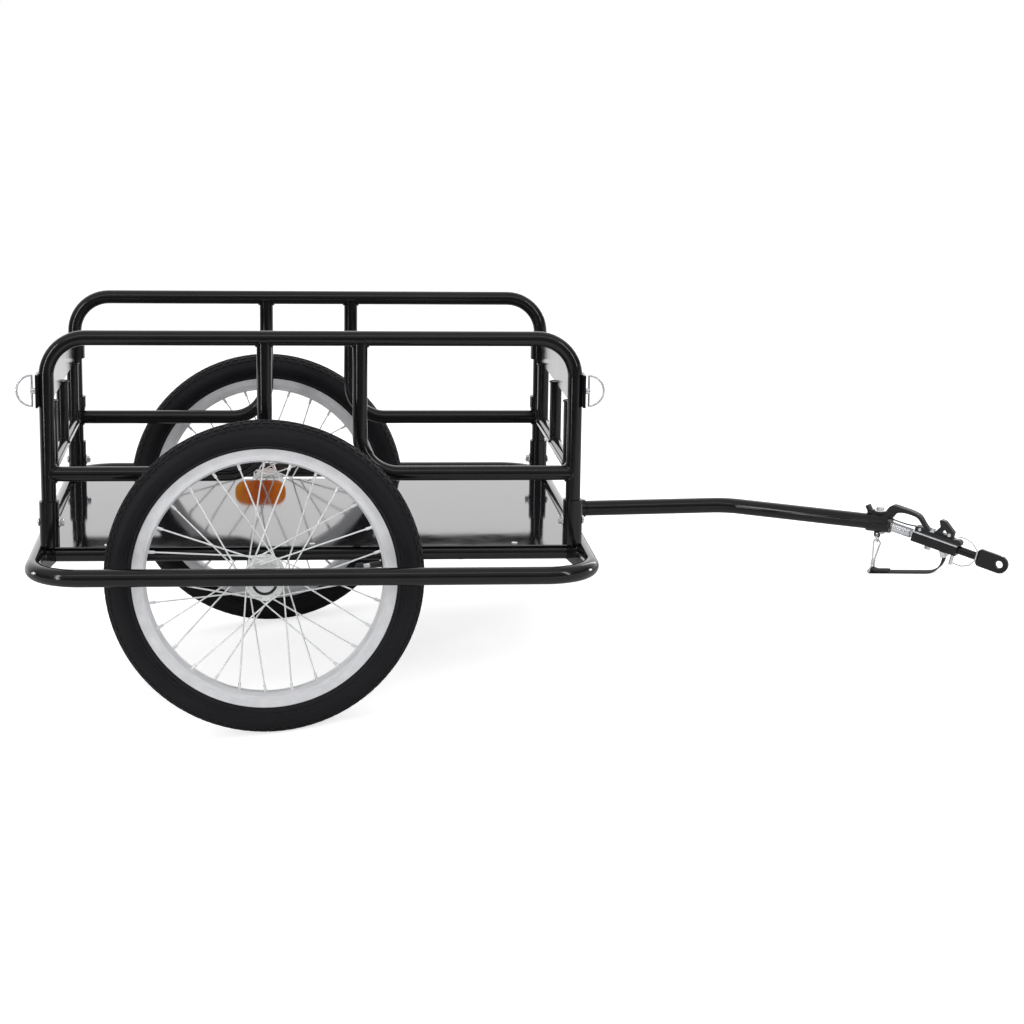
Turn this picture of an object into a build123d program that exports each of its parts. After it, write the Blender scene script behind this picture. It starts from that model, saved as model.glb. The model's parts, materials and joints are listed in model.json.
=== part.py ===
"""Two-wheel bicycle cargo trailer with a tube-frame bed and a spring hitch.

Millimetres.  The trailer is drawn level: X forward, Y left, Z up, the wheels' centre line at
X = 0.  It parks nose-down on its hitch eye, so every piece is then turned about the wheels'
centre line and moved so that the ground is Z = 0 and the origin is under the middle of the part.
"""
from build123d import *
from math import acos, asin, atan2, cos, degrees, hypot, pi, radians, sin, sqrt
import os

# ---------------------------------------------------------------- driving dimensions
# Wheels: 16-inch, 305 mm bead seat
TYRE_R = 200.0
TYRE_W = 47.0
RIM_R = 165.5
RIM_INNER_R = 148.0
RIM_W = 26.0
TRACK = 580.0
TYRE_WALL = 3.2
SPOKES = 28
CROSSES = 3
SPOKE_R = 1.0
SPOKE_HEAD_R = 1.9
SPOKE_HEAD_T = 1.1
NIPPLE_R = 1.9
NIPPLE_L = 9.0
HUB_R = 13.0
FLANGE_R = 25.0
FLANGE_T = 2.4
FLANGE_OFFSET = 21.0
SPOKE_CIRCLE_R = 22.4
AXLE_R = 6.0
COLLAR_R = 9.0
NUT_FLATS = 15.0
NUT_T = 8.0
WASHER_R = 9.5
WASHER_T = 1.6
SPOKE_STEP = 3.6
RIM_HOLE_Y = 2.4
REFLECTOR_L = 74.0
REFLECTOR_H = 35.0
REFLECTOR_CORNER_R = 15.0
REFLECTOR_T = 7.0
REFLECTOR_X = -10.5
REFLECTOR_Y = -4.0
REFLECTOR_Z = 58.5
RECEIVER_DEPTH = 24.0
AXLE_BEAM_END = 252.0
AXLE_BEAM_R = 11.0

# Bed frame
TUBE_R = 9.5
SIDE_Y = 218.0
RAIL_Z = 215.0
BRACE_Z = 318.5
TOP_Z = 491.5
POST_REAR_X = -271.5
POST_FRONT_X = 394.5
STILE_REAR_X = 0.0
STILE_FRONT_X = 120.5
BEND_R = 49.0
SHEET_T = 1.5
SOCKET_R = 12.5
SOCKET_H = 58.0
FIT = 0.1

# Bumper
BUMPER_R = 11.0
BUMPER_Y = 354.0
BUMPER_REAR_X = -285.0
BUMPER_FRONT_X = 409.0
BUMPER_BEND_R = 62.0
LIP_H = 10.0
GUSSET_T = 4.0
GUSSET_H = 17.0

# End gates
GATE_BAR_T = 3.0
GATE_BAR_LOW_Z = 404.0
GATE_BAR_HIGH_Z = 446.0
GATE_TUBE_R = 8.0
GATE_END_Y = 200.0
GATE_UPRIGHT_Y = 165.0
SLEEVE_R = 13.5
SLEEVE_FIT = 0.3
SLEEVE_H = 16.0
COLLAR_H = 4.0
TAB_END_Y = 229.0
TAB_T = 4.0
PULL_PIN_R = 4.0
PULL_PIN_L = 6.5
RING_WIRE_R = 1.5
RING_W = 22.0
RING_H = 42.0

# Towbar, drawn along its own two straights
TOWBAR_R = 11.0
TOWBAR_Z = 194.5
TOWBAR_START = (458.5, 157.0)
TOE_OUT = 5.4
TOWBAR_REAR_L = 210.0
TOE_IN = 32.7
TOWBAR_FRONT_L = 252.0
TOWBAR_BEND_R = 60.0
RECEIVER_L = 250.0
RECEIVER_R = 13.0
SPIGOT_R = 9.0
SPIGOT_L = 120.0

# Hitch, drawn along its own drooping axis
HITCH_DROOP = 13.1
CLAMP_L = 34.0
CLAMP_R = 13.5
LUG_X = 233.0
LUG_L = 9.0
LUG_T = 3.0
LUG_HOLE_R = 2.2
SPRING_R = 7.5
SPRING_L = 36.0
SPRING_WIRE_R = 1.6
HOUSING_L = 67.0
HOUSING_W = 20.0
HOUSING_LOW = -8.5
HOUSING_HIGH = 5.5
HOUSING_WALL = 2.0
COVER_W = 22.0
COVER_T = 1.6
LATCH_W = 14.0
LATCH_TOP = 12.5
LEVER_W = 9.0
BAND_W = 14.0
SLIDER_L = 24.0
TONGUE_L = 28.0
TONGUE_R = 5.8
PLATE_L = 46.0
PLATE_W = 25.0
PLATE_T = 5.0
EYE_HOLE_R = 5.25
LOCK_PIN_X = 97.5
LOCK_PIN_R = 2.5
LOCK_WIRE_R = 0.9

# Safety strap, drawn as it lies once the trailer is parked
STRAP_W = 16.0
STRAP_T = 2.0
STRAP_REACH = 84.0
STRAP_TAIL = 26.0
STRAP_RISE = 28.0
ANCHOR_L = 8.0
HOOK_BEND_R = 5.0
HOOK_L = 28.0
HOOK_WIRE_R = 1.2
BAR_DROP = 42.0
RING_R = 5.0

AXLE_Z = TYRE_R
WHEEL_Y = TRACK / 2
RAIL_TOP_Z = RAIL_Z + TUBE_R
BED_Z = RAIL_TOP_Z + SHEET_T
COLLAR_Z = BRACE_Z + TUBE_R + 1
SIDES = {"left": 1, "right": -1}
ENDS = {"front": (POST_FRONT_X, 1), "rear": (POST_REAR_X, -1)}

pieces = {}


# ---------------------------------------------------------------- helpers
def rod(start, end, radius):
    """A round bar between two points."""
    run = Vector(*end) - Vector(*start)
    return Solid.make_cylinder(radius, run.length, Plane(origin=start, z_dir=run))


def bent_bar(points, bend_radius, radius):
    """A round bar along straight runs joined by tangent arcs."""
    path = FilletPolyline(*points, radius=bend_radius)
    section = Plane(origin=path @ 0, z_dir=path % 0) * Circle(radius)
    return sweep(section, path=path)


def block(low, high):
    """A box between two opposite corners."""
    size = [b - a for a, b in zip(low, high)]
    middle = [(a + b) / 2 for a, b in zip(low, high)]
    return Pos(*middle) * Box(*size)


# ---------------------------------------------------------------- wheels
def tyre_section(wall, crown_r, seat):
    """Round tread on straight walls that narrow to the bead seats."""
    shoulder = TYRE_R - 19
    foot = RIM_R - 5
    neck = RIM_R + 1.5
    inward = ((-1, 0), (-1, 0))
    outward = ((1, 0), (1, 0))
    with BuildSketch(Plane.XY) as section:
        with BuildLine():
            ThreePointArc((shoulder, wall), (crown_r, 0), (shoulder, -wall))
            Spline((shoulder, -wall), (neck, -seat - 3), (foot, -seat), tangents=inward)
            Line((foot, -seat), (foot, seat))
            Spline((foot, seat), (neck, seat + 3), (shoulder, wall), tangents=outward)
        make_face()
    return section.sketch


def tyre_profile():
    """Hollow carcass, open between its two beads."""
    seat = RIM_W / 2 - 2.2
    outer = tyre_section(TYRE_W / 2, TYRE_R, seat)
    inner = tyre_section(TYRE_W / 2 - TYRE_WALL, TYRE_R - 1.6 * TYRE_WALL, seat - 1.2 * TYRE_WALL)
    mouth = Pos(RIM_R - 6) * Rectangle(8, 2 * (seat - 1.2 * TYRE_WALL))
    return outer - inner - mouth


def rim_profile():
    """Box-section rim: a tapered base under a well with two hooked edges."""
    half = RIM_W / 2
    points = [
        (RIM_INNER_R, 6), (RIM_INNER_R + 3, half - 1.5), (RIM_R - 8, half), (RIM_R, half),
        (RIM_R, half - 2), (RIM_R - 5.2, half - 2), (RIM_R - 6, half - 5), (RIM_R - 9, 6),
    ]
    outline = points + [(r, -y) for r, y in reversed(points)]
    return make_face(Polyline(*outline, close=True))


def hub_profile():
    """Turned hub: a slim barrel between two flanges, with bearing ends outside them."""
    bore = AXLE_R + FIT
    outer = FLANGE_OFFSET + FLANGE_T / 2
    inner = FLANGE_OFFSET - FLANGE_T / 2
    end = outer + 8
    half = [(HUB_R - 2, 0), (HUB_R - 1, inner - 7), (HUB_R + 3, inner), (FLANGE_R, inner)]
    half += [(FLANGE_R, outer), (HUB_R + 4, outer), (HUB_R + 3, end - 1), (HUB_R + 2, end)]
    mirrored = [(r, -y) for r, y in reversed(half[1:])]
    return make_face(Polyline((bore, end), (bore, -end), *mirrored, *half, close=True))


def turned(profile):
    """Revolve a (radius, width) profile about the wheel's axis."""
    return revolve(Plane.XY * profile, axis=Axis.Y)


def flange_holes():
    """The spoke holes of both flanges."""
    holes = []
    for index in range(SPOKES):
        side = 1 if index % 2 else -1
        angle = 360 / SPOKES * index
        at = (SPOKE_CIRCLE_R, side * (FLANGE_OFFSET - FLANGE_T), 0)
        to = (SPOKE_CIRCLE_R, side * (FLANGE_OFFSET + FLANGE_T), 0)
        holes.append(Rot(0, angle, 0) * rod(at, to, SPOKE_R + 0.2))
    return Compound(holes)


def spoke(side, trailing):
    """One spoke to the rim's hole on the X axis: head, elbow through the flange, and nipple."""
    lace = radians(CROSSES * 2 * 360 / SPOKES)
    hub_angle = lace if trailing else -lace
    step = SPOKE_STEP if trailing else -SPOKE_STEP
    hub_x = SPOKE_CIRCLE_R * cos(hub_angle)
    hub_z = SPOKE_CIRCLE_R * sin(hub_angle)
    flange_y = side * FLANGE_OFFSET
    elbow = Vector(hub_x, side * (FLANGE_OFFSET + step), hub_z)
    rim_hole = Vector(RIM_INNER_R + 1, side * (RIM_HOLE_Y + step / 2), 0)
    nipple_start = rim_hole + (elbow - rim_hole).normalized() * NIPPLE_L
    beyond = -side if trailing else side
    seat_y = flange_y + beyond * (FLANGE_T / 2 + 0.1)
    head_y = seat_y + beyond * SPOKE_HEAD_T
    bar = rod(elbow, rim_hole, SPOKE_R) + rod(nipple_start, rim_hole, NIPPLE_R)
    bar += rod(elbow, (hub_x, head_y, hub_z), SPOKE_R)
    bar += rod((hub_x, seat_y, hub_z), (hub_x, head_y, hub_z), SPOKE_HEAD_R)
    bar += Pos(*elbow) * Sphere(SPOKE_R)
    well = rod((0, -RIM_W, 0), (0, RIM_W, 0), RIM_INNER_R - FIT)
    return bar & well


def spoke_set():
    """Every spoke of one wheel, laced from both flanges, crossing without touching."""
    spokes = []
    for first, (side, trailing) in enumerate(((-1, False), (1, False), (-1, True), (1, True))):
        pattern = spoke(side, trailing)
        for index in range(first, SPOKES, 4):
            spokes.append(Rot(0, -360 / SPOKES * index, 0) * pattern)
    return Compound(spokes)


def reflector():
    """Oblong spoke reflector with rounded ends, clipped inside the inner spokes."""
    plate = Plane.XZ * RectangleRounded(REFLECTOR_L, REFLECTOR_H, REFLECTOR_CORNER_R)
    return Pos(REFLECTOR_X, REFLECTOR_Y, REFLECTOR_Z) * extrude(plate, REFLECTOR_T / 2, both=True)


def add_wheel(name, side):
    place = Pos(0, side * WHEEL_Y, AXLE_Z)
    rim = turned(rim_profile())
    pieces[f"tyre_{name}"] = place * (turned(tyre_profile()) - rim)
    pieces[f"rim_{name}"] = place * rim
    pieces[f"hub_{name}"] = place * (turned(hub_profile()) - flange_holes())
    pieces[f"spokes_{name}"] = place * spoke_set()


def add_wheels():
    for name, side in SIDES.items():
        add_wheel(name, side)
    pieces["spoke_reflector"] = Pos(0, WHEEL_Y, AXLE_Z) * reflector()


# ---------------------------------------------------------------- bed frame
def add_bumper():
    """Closed loop of tube around the bed and wheels, split at its four bends."""
    straight_y = BUMPER_Y - BUMPER_BEND_R
    rear_x = BUMPER_REAR_X + BUMPER_BEND_R
    front_x = BUMPER_FRONT_X - BUMPER_BEND_R
    for name, side in SIDES.items():
        y = side * BUMPER_Y
        pieces[f"bumper_{name}"] = rod((rear_x, y, RAIL_Z), (front_x, y, RAIL_Z), BUMPER_R)
    for end, x, toward in (("front", BUMPER_FRONT_X, 1), ("rear", BUMPER_REAR_X, -1)):
        pieces[f"bumper_{end}"] = rod((x, -straight_y, RAIL_Z), (x, straight_y, RAIL_Z), BUMPER_R)
        for name, side in SIDES.items():
            centre_x = x - toward * BUMPER_BEND_R
            mid = BUMPER_BEND_R * sin(pi / 4)
            start = (x, side * straight_y, RAIL_Z)
            middle = (centre_x + toward * mid, side * (straight_y + mid), RAIL_Z)
            finish = (centre_x, side * BUMPER_Y, RAIL_Z)
            arc = ThreePointArc(start, middle, finish)
            section = Plane(origin=arc @ 0, z_dir=arc % 0) * Circle(BUMPER_R)
            pieces[f"bumper_bend_{end}_{name}"] = sweep(section, path=arc)


def stub_axle(side, inner):
    """Axle with a collar against the beam, and a washer and nut outside the hub."""
    hub_end = FLANGE_OFFSET + FLANGE_T / 2 + 8.5
    washer_y = side * (WHEEL_Y + hub_end)
    nut_y = washer_y + side * WASHER_T
    outer = nut_y + side * (NUT_T + 4)
    axle = rod((0, inner, 0), (0, outer, 0), AXLE_R)
    axle += rod((0, side * AXLE_BEAM_END, 0), (0, side * (WHEEL_Y - hub_end), 0), COLLAR_R)
    axle += rod((0, washer_y, 0), (0, nut_y, 0), WASHER_R)
    hexagon = Plane(origin=(0, nut_y, 0), z_dir=(0, side, 0)) * RegularPolygon(NUT_FLATS / sqrt(3), 6)
    return axle + extrude(hexagon, NUT_T)


def add_base():
    """Side rails between the bumper's end bars, cross tubes, axle beam and floor sheet."""
    end_bars = pieces["bumper_front"] + pieces["bumper_rear"]
    rails = None
    for name, side in SIDES.items():
        y = side * SIDE_Y
        rail = rod((BUMPER_REAR_X, y, RAIL_Z), (BUMPER_FRONT_X, y, RAIL_Z), TUBE_R) - end_bars
        pieces[f"rail_{name}"] = rail
        rails = rail if rails is None else rails + rail
    for name, x in (("front", 250.0), ("rear", -150.0)):
        tube = rod((x, -SIDE_Y, RAIL_Z), (x, SIDE_Y, RAIL_Z), TUBE_R) - rails
        pieces[f"cross_tube_{name}"] = tube
    beam = rod((0, -AXLE_BEAM_END, AXLE_Z), (0, AXLE_BEAM_END, AXLE_Z), AXLE_BEAM_R) - rails
    bore_y = AXLE_BEAM_END - RECEIVER_DEPTH
    for side in SIDES.values():
        beam -= rod((0, side * bore_y, AXLE_Z), (0, side * AXLE_BEAM_END, AXLE_Z), AXLE_R + FIT)
    pieces["axle_beam"] = beam
    for name, side in SIDES.items():
        pieces[f"stub_axle_{name}"] = Pos(0, 0, AXLE_Z) * stub_axle(side, side * (bore_y + 0.5))
    half = SIDE_Y + TUBE_R
    low = (BUMPER_REAR_X + BUMPER_R, -half, RAIL_TOP_Z)
    high = (BUMPER_FRONT_X - BUMPER_R, half, BED_Z)
    sheet = block(low, high)
    lip_y = SIDE_Y - TUBE_R - 1
    for x, toward in ((low[0], 1), (high[0], -1)):
        lip_x = sorted((x, x + toward * SHEET_T))
        sheet += block((lip_x[0], -lip_y, RAIL_TOP_Z - LIP_H), (lip_x[1], lip_y, RAIL_TOP_Z))
    sheet -= end_bars
    pieces["floor_sheet"] = sheet


def add_gussets():
    """A short flat link from each rail end to the bumper's bend."""
    for end, (post_x, toward) in ENDS.items():
        for name, side in SIDES.items():
            near = (post_x - toward * 6, side * (SIDE_Y + TUBE_R - 3))
            far = (post_x + toward * 6, side * (SIDE_Y + 92))
            link = trace(Line(near, far), GUSSET_T)
            low_z = RAIL_Z - GUSSET_H / 2
            plate = Pos(0, 0, low_z) * extrude(link, GUSSET_H)
            plate -= pieces[f"rail_{name}"] + pieces[f"bumper_bend_{end}_{name}"]
            plate -= pieces[f"bumper_{end}"]
            pieces[f"gusset_{end}_{name}"] = max(plate.solids(), key=lambda solid: solid.volume)


def add_sides():
    """Hoops standing in sockets, each with two bent braces."""
    foot_z = BED_Z + 4
    for name, side in SIDES.items():
        y = side * SIDE_Y
        corners = [(POST_REAR_X, y, foot_z), (POST_REAR_X, y, TOP_Z)]
        corners += [(POST_FRONT_X, y, TOP_Z), (POST_FRONT_X, y, foot_z)]
        hoop = bent_bar(corners, BEND_R, TUBE_R)
        if name == "left":
            for post_x, _ in ENDS.values():
                hoop += rod((post_x, y, COLLAR_Z), (post_x, y, COLLAR_Z + COLLAR_H), SLEEVE_R - 1)
        pieces[f"hoop_{name}"] = hoop
        for end, stile_x, post_x in (
            ("front", STILE_FRONT_X, POST_FRONT_X),
            ("rear", STILE_REAR_X, POST_REAR_X),
        ):
            points = [(stile_x, y, TOP_Z), (stile_x, y, BRACE_Z), (post_x, y, BRACE_Z)]
            pieces[f"brace_{end}_{name}"] = bent_bar(points, BEND_R, TUBE_R) - hoop
        for end, (post_x, toward) in ENDS.items():
            sleeve = rod((post_x, y, BED_Z), (post_x, y, BED_Z + SOCKET_H), SOCKET_R)
            sleeve -= rod((post_x, y, BED_Z + 3), (post_x, y, BED_Z + SOCKET_H), TUBE_R + FIT)
            pieces[f"socket_{end}_{name}"] = sleeve


# ---------------------------------------------------------------- end gates
def gate_bar(post_x, toward):
    """Flat top bar, jogged at its right end to lie on the outside of the right post."""
    seat_x = post_x + toward * (TUBE_R + 0.4 + GATE_BAR_T / 2)
    left = SIDE_Y - SLEEVE_R + 0.5
    points = [(post_x, left), (post_x, -GATE_END_Y + 12), (seat_x, -GATE_END_Y), (seat_x, -TAB_END_Y)]
    centre = Polyline(*points)
    height = GATE_BAR_HIGH_Z - GATE_BAR_LOW_Z
    return Pos(0, 0, GATE_BAR_LOW_Z) * extrude(trace(centre, GATE_BAR_T), height)


def gate_sleeve(post_x, low_z, height):
    """Hinge sleeve that turns on the left post."""
    low = (post_x, SIDE_Y, low_z)
    high = (post_x, SIDE_Y, low_z + height)
    return rod(low, high, SLEEVE_R) - rod(low, high, TUBE_R + SLEEVE_FIT)


def pull_ring():
    """Latch pin's head with its D-shaped pull ring, standing out along X from the tab's face."""
    flat_x = PULL_PIN_L - RING_WIRE_R
    half = RING_H / 2 - RING_WIRE_R
    low = Vector(flat_x, 0, -half)
    high = Vector(flat_x, 0, half)
    bow = ThreePointArc(high, (flat_x + RING_W - 2 * RING_WIRE_R, 0, 0), low)
    ring = sweep(Plane(origin=bow @ 0, z_dir=bow % 0) * Circle(RING_WIRE_R), path=bow)
    ring += rod(low, high, RING_WIRE_R)
    for corner in (low, high):
        ring += Pos(*corner) * Sphere(RING_WIRE_R)
    return ring + rod((0, 0, 0), (PULL_PIN_L, 0, 0), PULL_PIN_R)


def add_gate(end, post_x, toward):
    """Gate hinged on the left post: flat top bar, bottom tube and three uprights."""
    sleeve_h = GATE_BAR_HIGH_Z - GATE_BAR_LOW_Z - 8
    upper = gate_sleeve(post_x, GATE_BAR_LOW_Z, sleeve_h)
    core = rod((post_x, SIDE_Y, 0), (post_x, SIDE_Y, TOP_Z), TUBE_R + SLEEVE_FIT)
    pieces[f"gate_{end}_top_bar"] = (gate_bar(post_x, toward) - core) + upper
    frame = rod((post_x, -GATE_END_Y, BRACE_Z), (post_x, GATE_END_Y, BRACE_Z), GATE_TUBE_R)
    for y in (-GATE_UPRIGHT_Y, 0, GATE_UPRIGHT_Y):
        frame += rod((post_x, y, BRACE_Z), (post_x, y, GATE_BAR_LOW_Z), GATE_TUBE_R)
    sleeve_z = COLLAR_Z + COLLAR_H + SLEEVE_FIT
    arm_low = (post_x - TAB_T / 2, GATE_UPRIGHT_Y, sleeve_z)
    arm_high = (post_x + TAB_T / 2, SIDE_Y, sleeve_z + SLEEVE_H)
    frame += (block(arm_low, arm_high) - core) + gate_sleeve(post_x, sleeve_z, SLEEVE_H)
    pieces[f"gate_{end}_frame"] = frame
    face_x = post_x + toward * (TUBE_R + 0.4 + GATE_BAR_T)
    ring_z = (GATE_BAR_LOW_Z + GATE_BAR_HIGH_Z) / 2
    turn = 0 if toward > 0 else 180
    pieces[f"gate_{end}_ring"] = Pos(face_x, -SIDE_Y - 2, ring_z) * Rot(0, 0, turn) * pull_ring()


# ---------------------------------------------------------------- towbar and hitch
def towbar_frames():
    """Planes at the towbar's start, its bend and its front end, X along the bar."""
    outward = (cos(radians(TOE_OUT)), sin(radians(TOE_OUT)), 0)
    start = Plane(origin=(*TOWBAR_START, TOWBAR_Z), x_dir=outward, z_dir=(0, 0, 1))
    bend = start.from_local_coords(Vector(TOWBAR_REAR_L, 0, 0))
    ahead = (cos(radians(TOE_IN)), -sin(radians(TOE_IN)), 0)
    front = Plane(origin=bend, x_dir=ahead, z_dir=(0, 0, 1))
    return start, front


BAR_START, BAR_FRONT = towbar_frames()
EYE_X = SPRING_L + HOUSING_L + TONGUE_L + PLATE_L - PLATE_W / 2
LUG_HOLE = (LUG_X, 0, -CLAMP_R - LUG_L / 2)
HITCH = Plane(BAR_FRONT.location * Pos(TOWBAR_FRONT_L, 0, -3) * Rot(0, HITCH_DROOP, 0))


def on(plane, solid):
    """Place a solid drawn in a plane's own axes."""
    return plane.location * solid


def along_x(start, end, radius):
    """A round bar along the local X axis."""
    return rod((start, 0, 0), (end, 0, 0), radius)


def add_towbar():
    socket = along_x(-RECEIVER_L, -1.5, RECEIVER_R)
    socket -= along_x(-RECEIVER_L + 20, -1, SPIGOT_R + 0.2)
    receiver = on(BAR_START, socket)
    for name in ("cross_tube_front", "bumper_front"):
        receiver -= pieces[name]
    pieces["towbar_receiver"] = max(receiver.solids(), key=lambda solid: solid.volume)
    tip = BAR_FRONT.from_local_coords(Vector(TOWBAR_FRONT_L - 2, 0, 0))
    bend = BAR_FRONT.origin
    bar = bent_bar([BAR_START.origin, bend, tip], TOWBAR_BEND_R, TOWBAR_R)
    bar += on(BAR_START, along_x(-SPIGOT_L, 1, SPIGOT_R))
    clamp = along_x(TOWBAR_FRONT_L - CLAMP_L, TOWBAR_FRONT_L, CLAMP_R)
    clamp -= along_x(TOWBAR_FRONT_L - CLAMP_L - 1, TOWBAR_FRONT_L - 2, TOWBAR_R)
    boss = block((TOWBAR_FRONT_L - CLAMP_L + 2, -5, CLAMP_R - 2), (TOWBAR_FRONT_L - 8, 5, CLAMP_R + 3))
    lug_low = (LUG_X - LUG_L / 2, -LUG_T / 2, -CLAMP_R - LUG_L)
    lug = block(lug_low, (LUG_X + LUG_L / 2, LUG_T / 2, -CLAMP_R + 2))
    lug = fillet(lug.edges().filter_by(Axis.Y).group_by(Axis.Z)[0], LUG_L / 2 - 0.1)
    clamp += (boss + lug) - along_x(0, TOWBAR_FRONT_L, CLAMP_R - 0.5)
    clamp -= Pos(*LUG_HOLE) * Rot(90, 0, 0) * Cylinder(LUG_HOLE_R, 2 * LUG_T)
    pieces["towbar"] = bar
    pieces["towbar_clamp"] = on(BAR_FRONT, clamp)


def side_plate(outline, width):
    """A plate of the given width, from its outline along and above the hitch's axis."""
    return extrude(Plane.XZ * outline, width / 2, both=True)


def spring_profile():
    """One side of the closed coil: a row of half-round turns on a thin tube."""
    pitch = 2 * SPRING_WIRE_R
    turns = int((SPRING_L - 2) / pitch)
    inner = SPRING_R - 2 * SPRING_WIRE_R
    start = (SPRING_L - turns * pitch) / 2
    with BuildSketch(Plane.XY) as profile:
        with BuildLine():
            Line((start, SPRING_R - SPRING_WIRE_R), (start, inner))
            Line((start, inner), (start + turns * pitch, inner))
            Line((start + turns * pitch, inner), (start + turns * pitch, SPRING_R - SPRING_WIRE_R))
            for turn in range(turns):
                left = start + turn * pitch
                ThreePointArc(
                    (left, SPRING_R - SPRING_WIRE_R),
                    (left + SPRING_WIRE_R, SPRING_R),
                    (left + pitch, SPRING_R - SPRING_WIRE_R),
                )
        make_face()
    return profile.sketch


def housing_channel():
    """Folded channel, open at the top, with a rear wall that the spring screws into."""
    half = HOUSING_W / 2
    front = SPRING_L + HOUSING_L
    wall = HOUSING_WALL
    outer = block((SPRING_L, -half, HOUSING_LOW), (front, half, HOUSING_HIGH))
    outer = fillet(outer.edges().filter_by(Axis.X).group_by(Axis.Z)[0], wall)
    room_low = (SPRING_L + wall, wall - half, HOUSING_LOW + wall)
    return outer - block(room_low, (front + wall, half - wall, HOUSING_HIGH + wall))


def latch_outline():
    """Moulded latch body along the top of the cover plate, highest at its ends."""
    base = HOUSING_HIGH + COVER_T
    back = SPRING_L + 1
    front = SPRING_L + HOUSING_L + 3
    points = [
        (back, base), (back, base + 6), (back + 5, LATCH_TOP + 2), (back + 13, LATCH_TOP + 2),
        (back + 20, LATCH_TOP), (front - 10, LATCH_TOP), (front - 4, LATCH_TOP + 1.5),
        (front, LATCH_TOP - 1), (front, base),
    ]
    return make_face(Polyline(*points, close=True))


def lever_outline():
    """Release lever that leans back, with a three-cornered window."""
    arm = [(64, LATCH_TOP), (71, 24), (67, 32), (70, 34), (76, 33.5), (92, 22), (92, LATCH_TOP)]
    window = [(74, LATCH_TOP + 3), (85, LATCH_TOP + 3), (78, 22)]
    return make_face(Polyline(*arm, close=True)) - make_face(Polyline(*window, close=True))


def band_outline():
    """Rubber band that arches over the spring, thicker at the clamp."""
    outside = [(-13, 12), (-5, 29.5), (12, 31.5), (30, 31), (40, 28), (50, 19), (60, 12.6)]
    inside = [(51, 12.6), (45, 18), (37, 24.5), (28, 26), (15, 25.2), (5, 21), (0, 12)]
    return make_face(Polyline(*outside, *inside, close=True))


def lock_wire():
    """Wire bail from the lock pin's head round the near side of the tongue to its foot."""
    x = LOCK_PIN_X + LOCK_PIN_R
    top = LATCH_TOP + 5
    side = -TONGUE_R - 3
    route = [
        (x, 0, top), (x + 9, side / 2, top + 3), (x + 22, side, top + 1), (x + 32, side, top - 8),
        (x + 32, side, -4), (x + 26, side, -14), (x + 14, side / 2, -20), (x, 0, -21),
    ]
    return bent_bar(route, 5.0, LOCK_WIRE_R)


def eye_plate():
    """Flattened end of the tongue, rounded at the tip, with the axle eye."""
    start = SPRING_L + HOUSING_L + TONGUE_L
    end = start + PLATE_L
    outline = Pos((start + end) / 2, 0) * RectangleRounded(PLATE_L, PLATE_W, 6)
    neck = Pos((start + EYE_X) / 2, 0) * Rectangle(EYE_X - start, PLATE_W)
    outline &= Pos(EYE_X, 0) * Circle(PLATE_W / 2) + neck
    return side_plate(outline - Pos(EYE_X, 0) * Circle(EYE_HOLE_R), PLATE_T)


def add_hitch():
    front = SPRING_L + HOUSING_L
    cover_top = HOUSING_HIGH + COVER_T
    half = COVER_W / 2
    pin_low = (LOCK_PIN_X, 0, -24)
    pin_high = (LOCK_PIN_X, 0, LATCH_TOP + 4)
    pin_way = rod(pin_low, pin_high, LOCK_PIN_R + FIT)
    slide_high = (front, HOUSING_W / 2 - HOUSING_WALL - FIT, HOUSING_HIGH)
    slide_low = (front - SLIDER_L, -slide_high[1], HOUSING_LOW + HOUSING_WALL)
    tongue = block(slide_low, slide_high) + along_x(front, front + TONGUE_L, TONGUE_R)
    cover = block((SPRING_L, -half, HOUSING_HIGH), (front, half, cover_top))
    latch = side_plate(latch_outline(), LATCH_W)
    band = side_plate(band_outline(), BAND_W) - latch
    pin_head = rod((LOCK_PIN_X, 0, LATCH_TOP + 1.6), pin_high, 2 * LOCK_PIN_R)
    hitch = {
        "hitch_spring": revolve(spring_profile(), axis=Axis.X),
        "hitch_housing": housing_channel() - pin_way,
        "hitch_cover": cover - pin_way,
        "hitch_latch": latch - pin_way,
        "hitch_lever": side_plate(lever_outline(), LEVER_W),
        "hitch_tongue": tongue - pin_way,
        "hitch_plate": eye_plate(),
        "hitch_lock_pin": rod(pin_low, pin_high, LOCK_PIN_R) + pin_head + lock_wire(),
    }
    for name, shape in hitch.items():
        pieces[name] = on(HITCH, shape)
    seated = on(HITCH, band) - pieces["towbar_clamp"] - pieces["towbar"]
    pieces["hitch_band"] = max(seated.solids(), key=lambda solid: solid.volume)


# ---------------------------------------------------------------- parking
def park_angle():
    """Nose-down turn about the wheels' centre line that brings the eye plate to the ground."""
    eye = HITCH.from_local_coords(Vector(EYE_X, 0, 0))
    reach = hypot(eye.X, eye.Z - AXLE_Z)
    slope = atan2(AXLE_Z - eye.Z, eye.X)
    angle = 0.0
    for _ in range(6):
        lean = asin(sin(radians(TOE_IN)) * sin(angle))
        drop = PLATE_W / 2 * cos(lean) + PLATE_T / 2 * sin(lean)
        angle = asin((AXLE_Z - drop) / reach) - slope
    return degrees(angle)


PARKED = Pos(0, 0, AXLE_Z) * Rot(0, park_angle(), 0) * Pos(0, 0, -AXLE_Z)


def parked_point(plane, point):
    """Where a point given in a plane's own axes comes to once the trailer is parked."""
    return (PARKED * Pos(*plane.from_local_coords(Vector(*point)))).position


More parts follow.
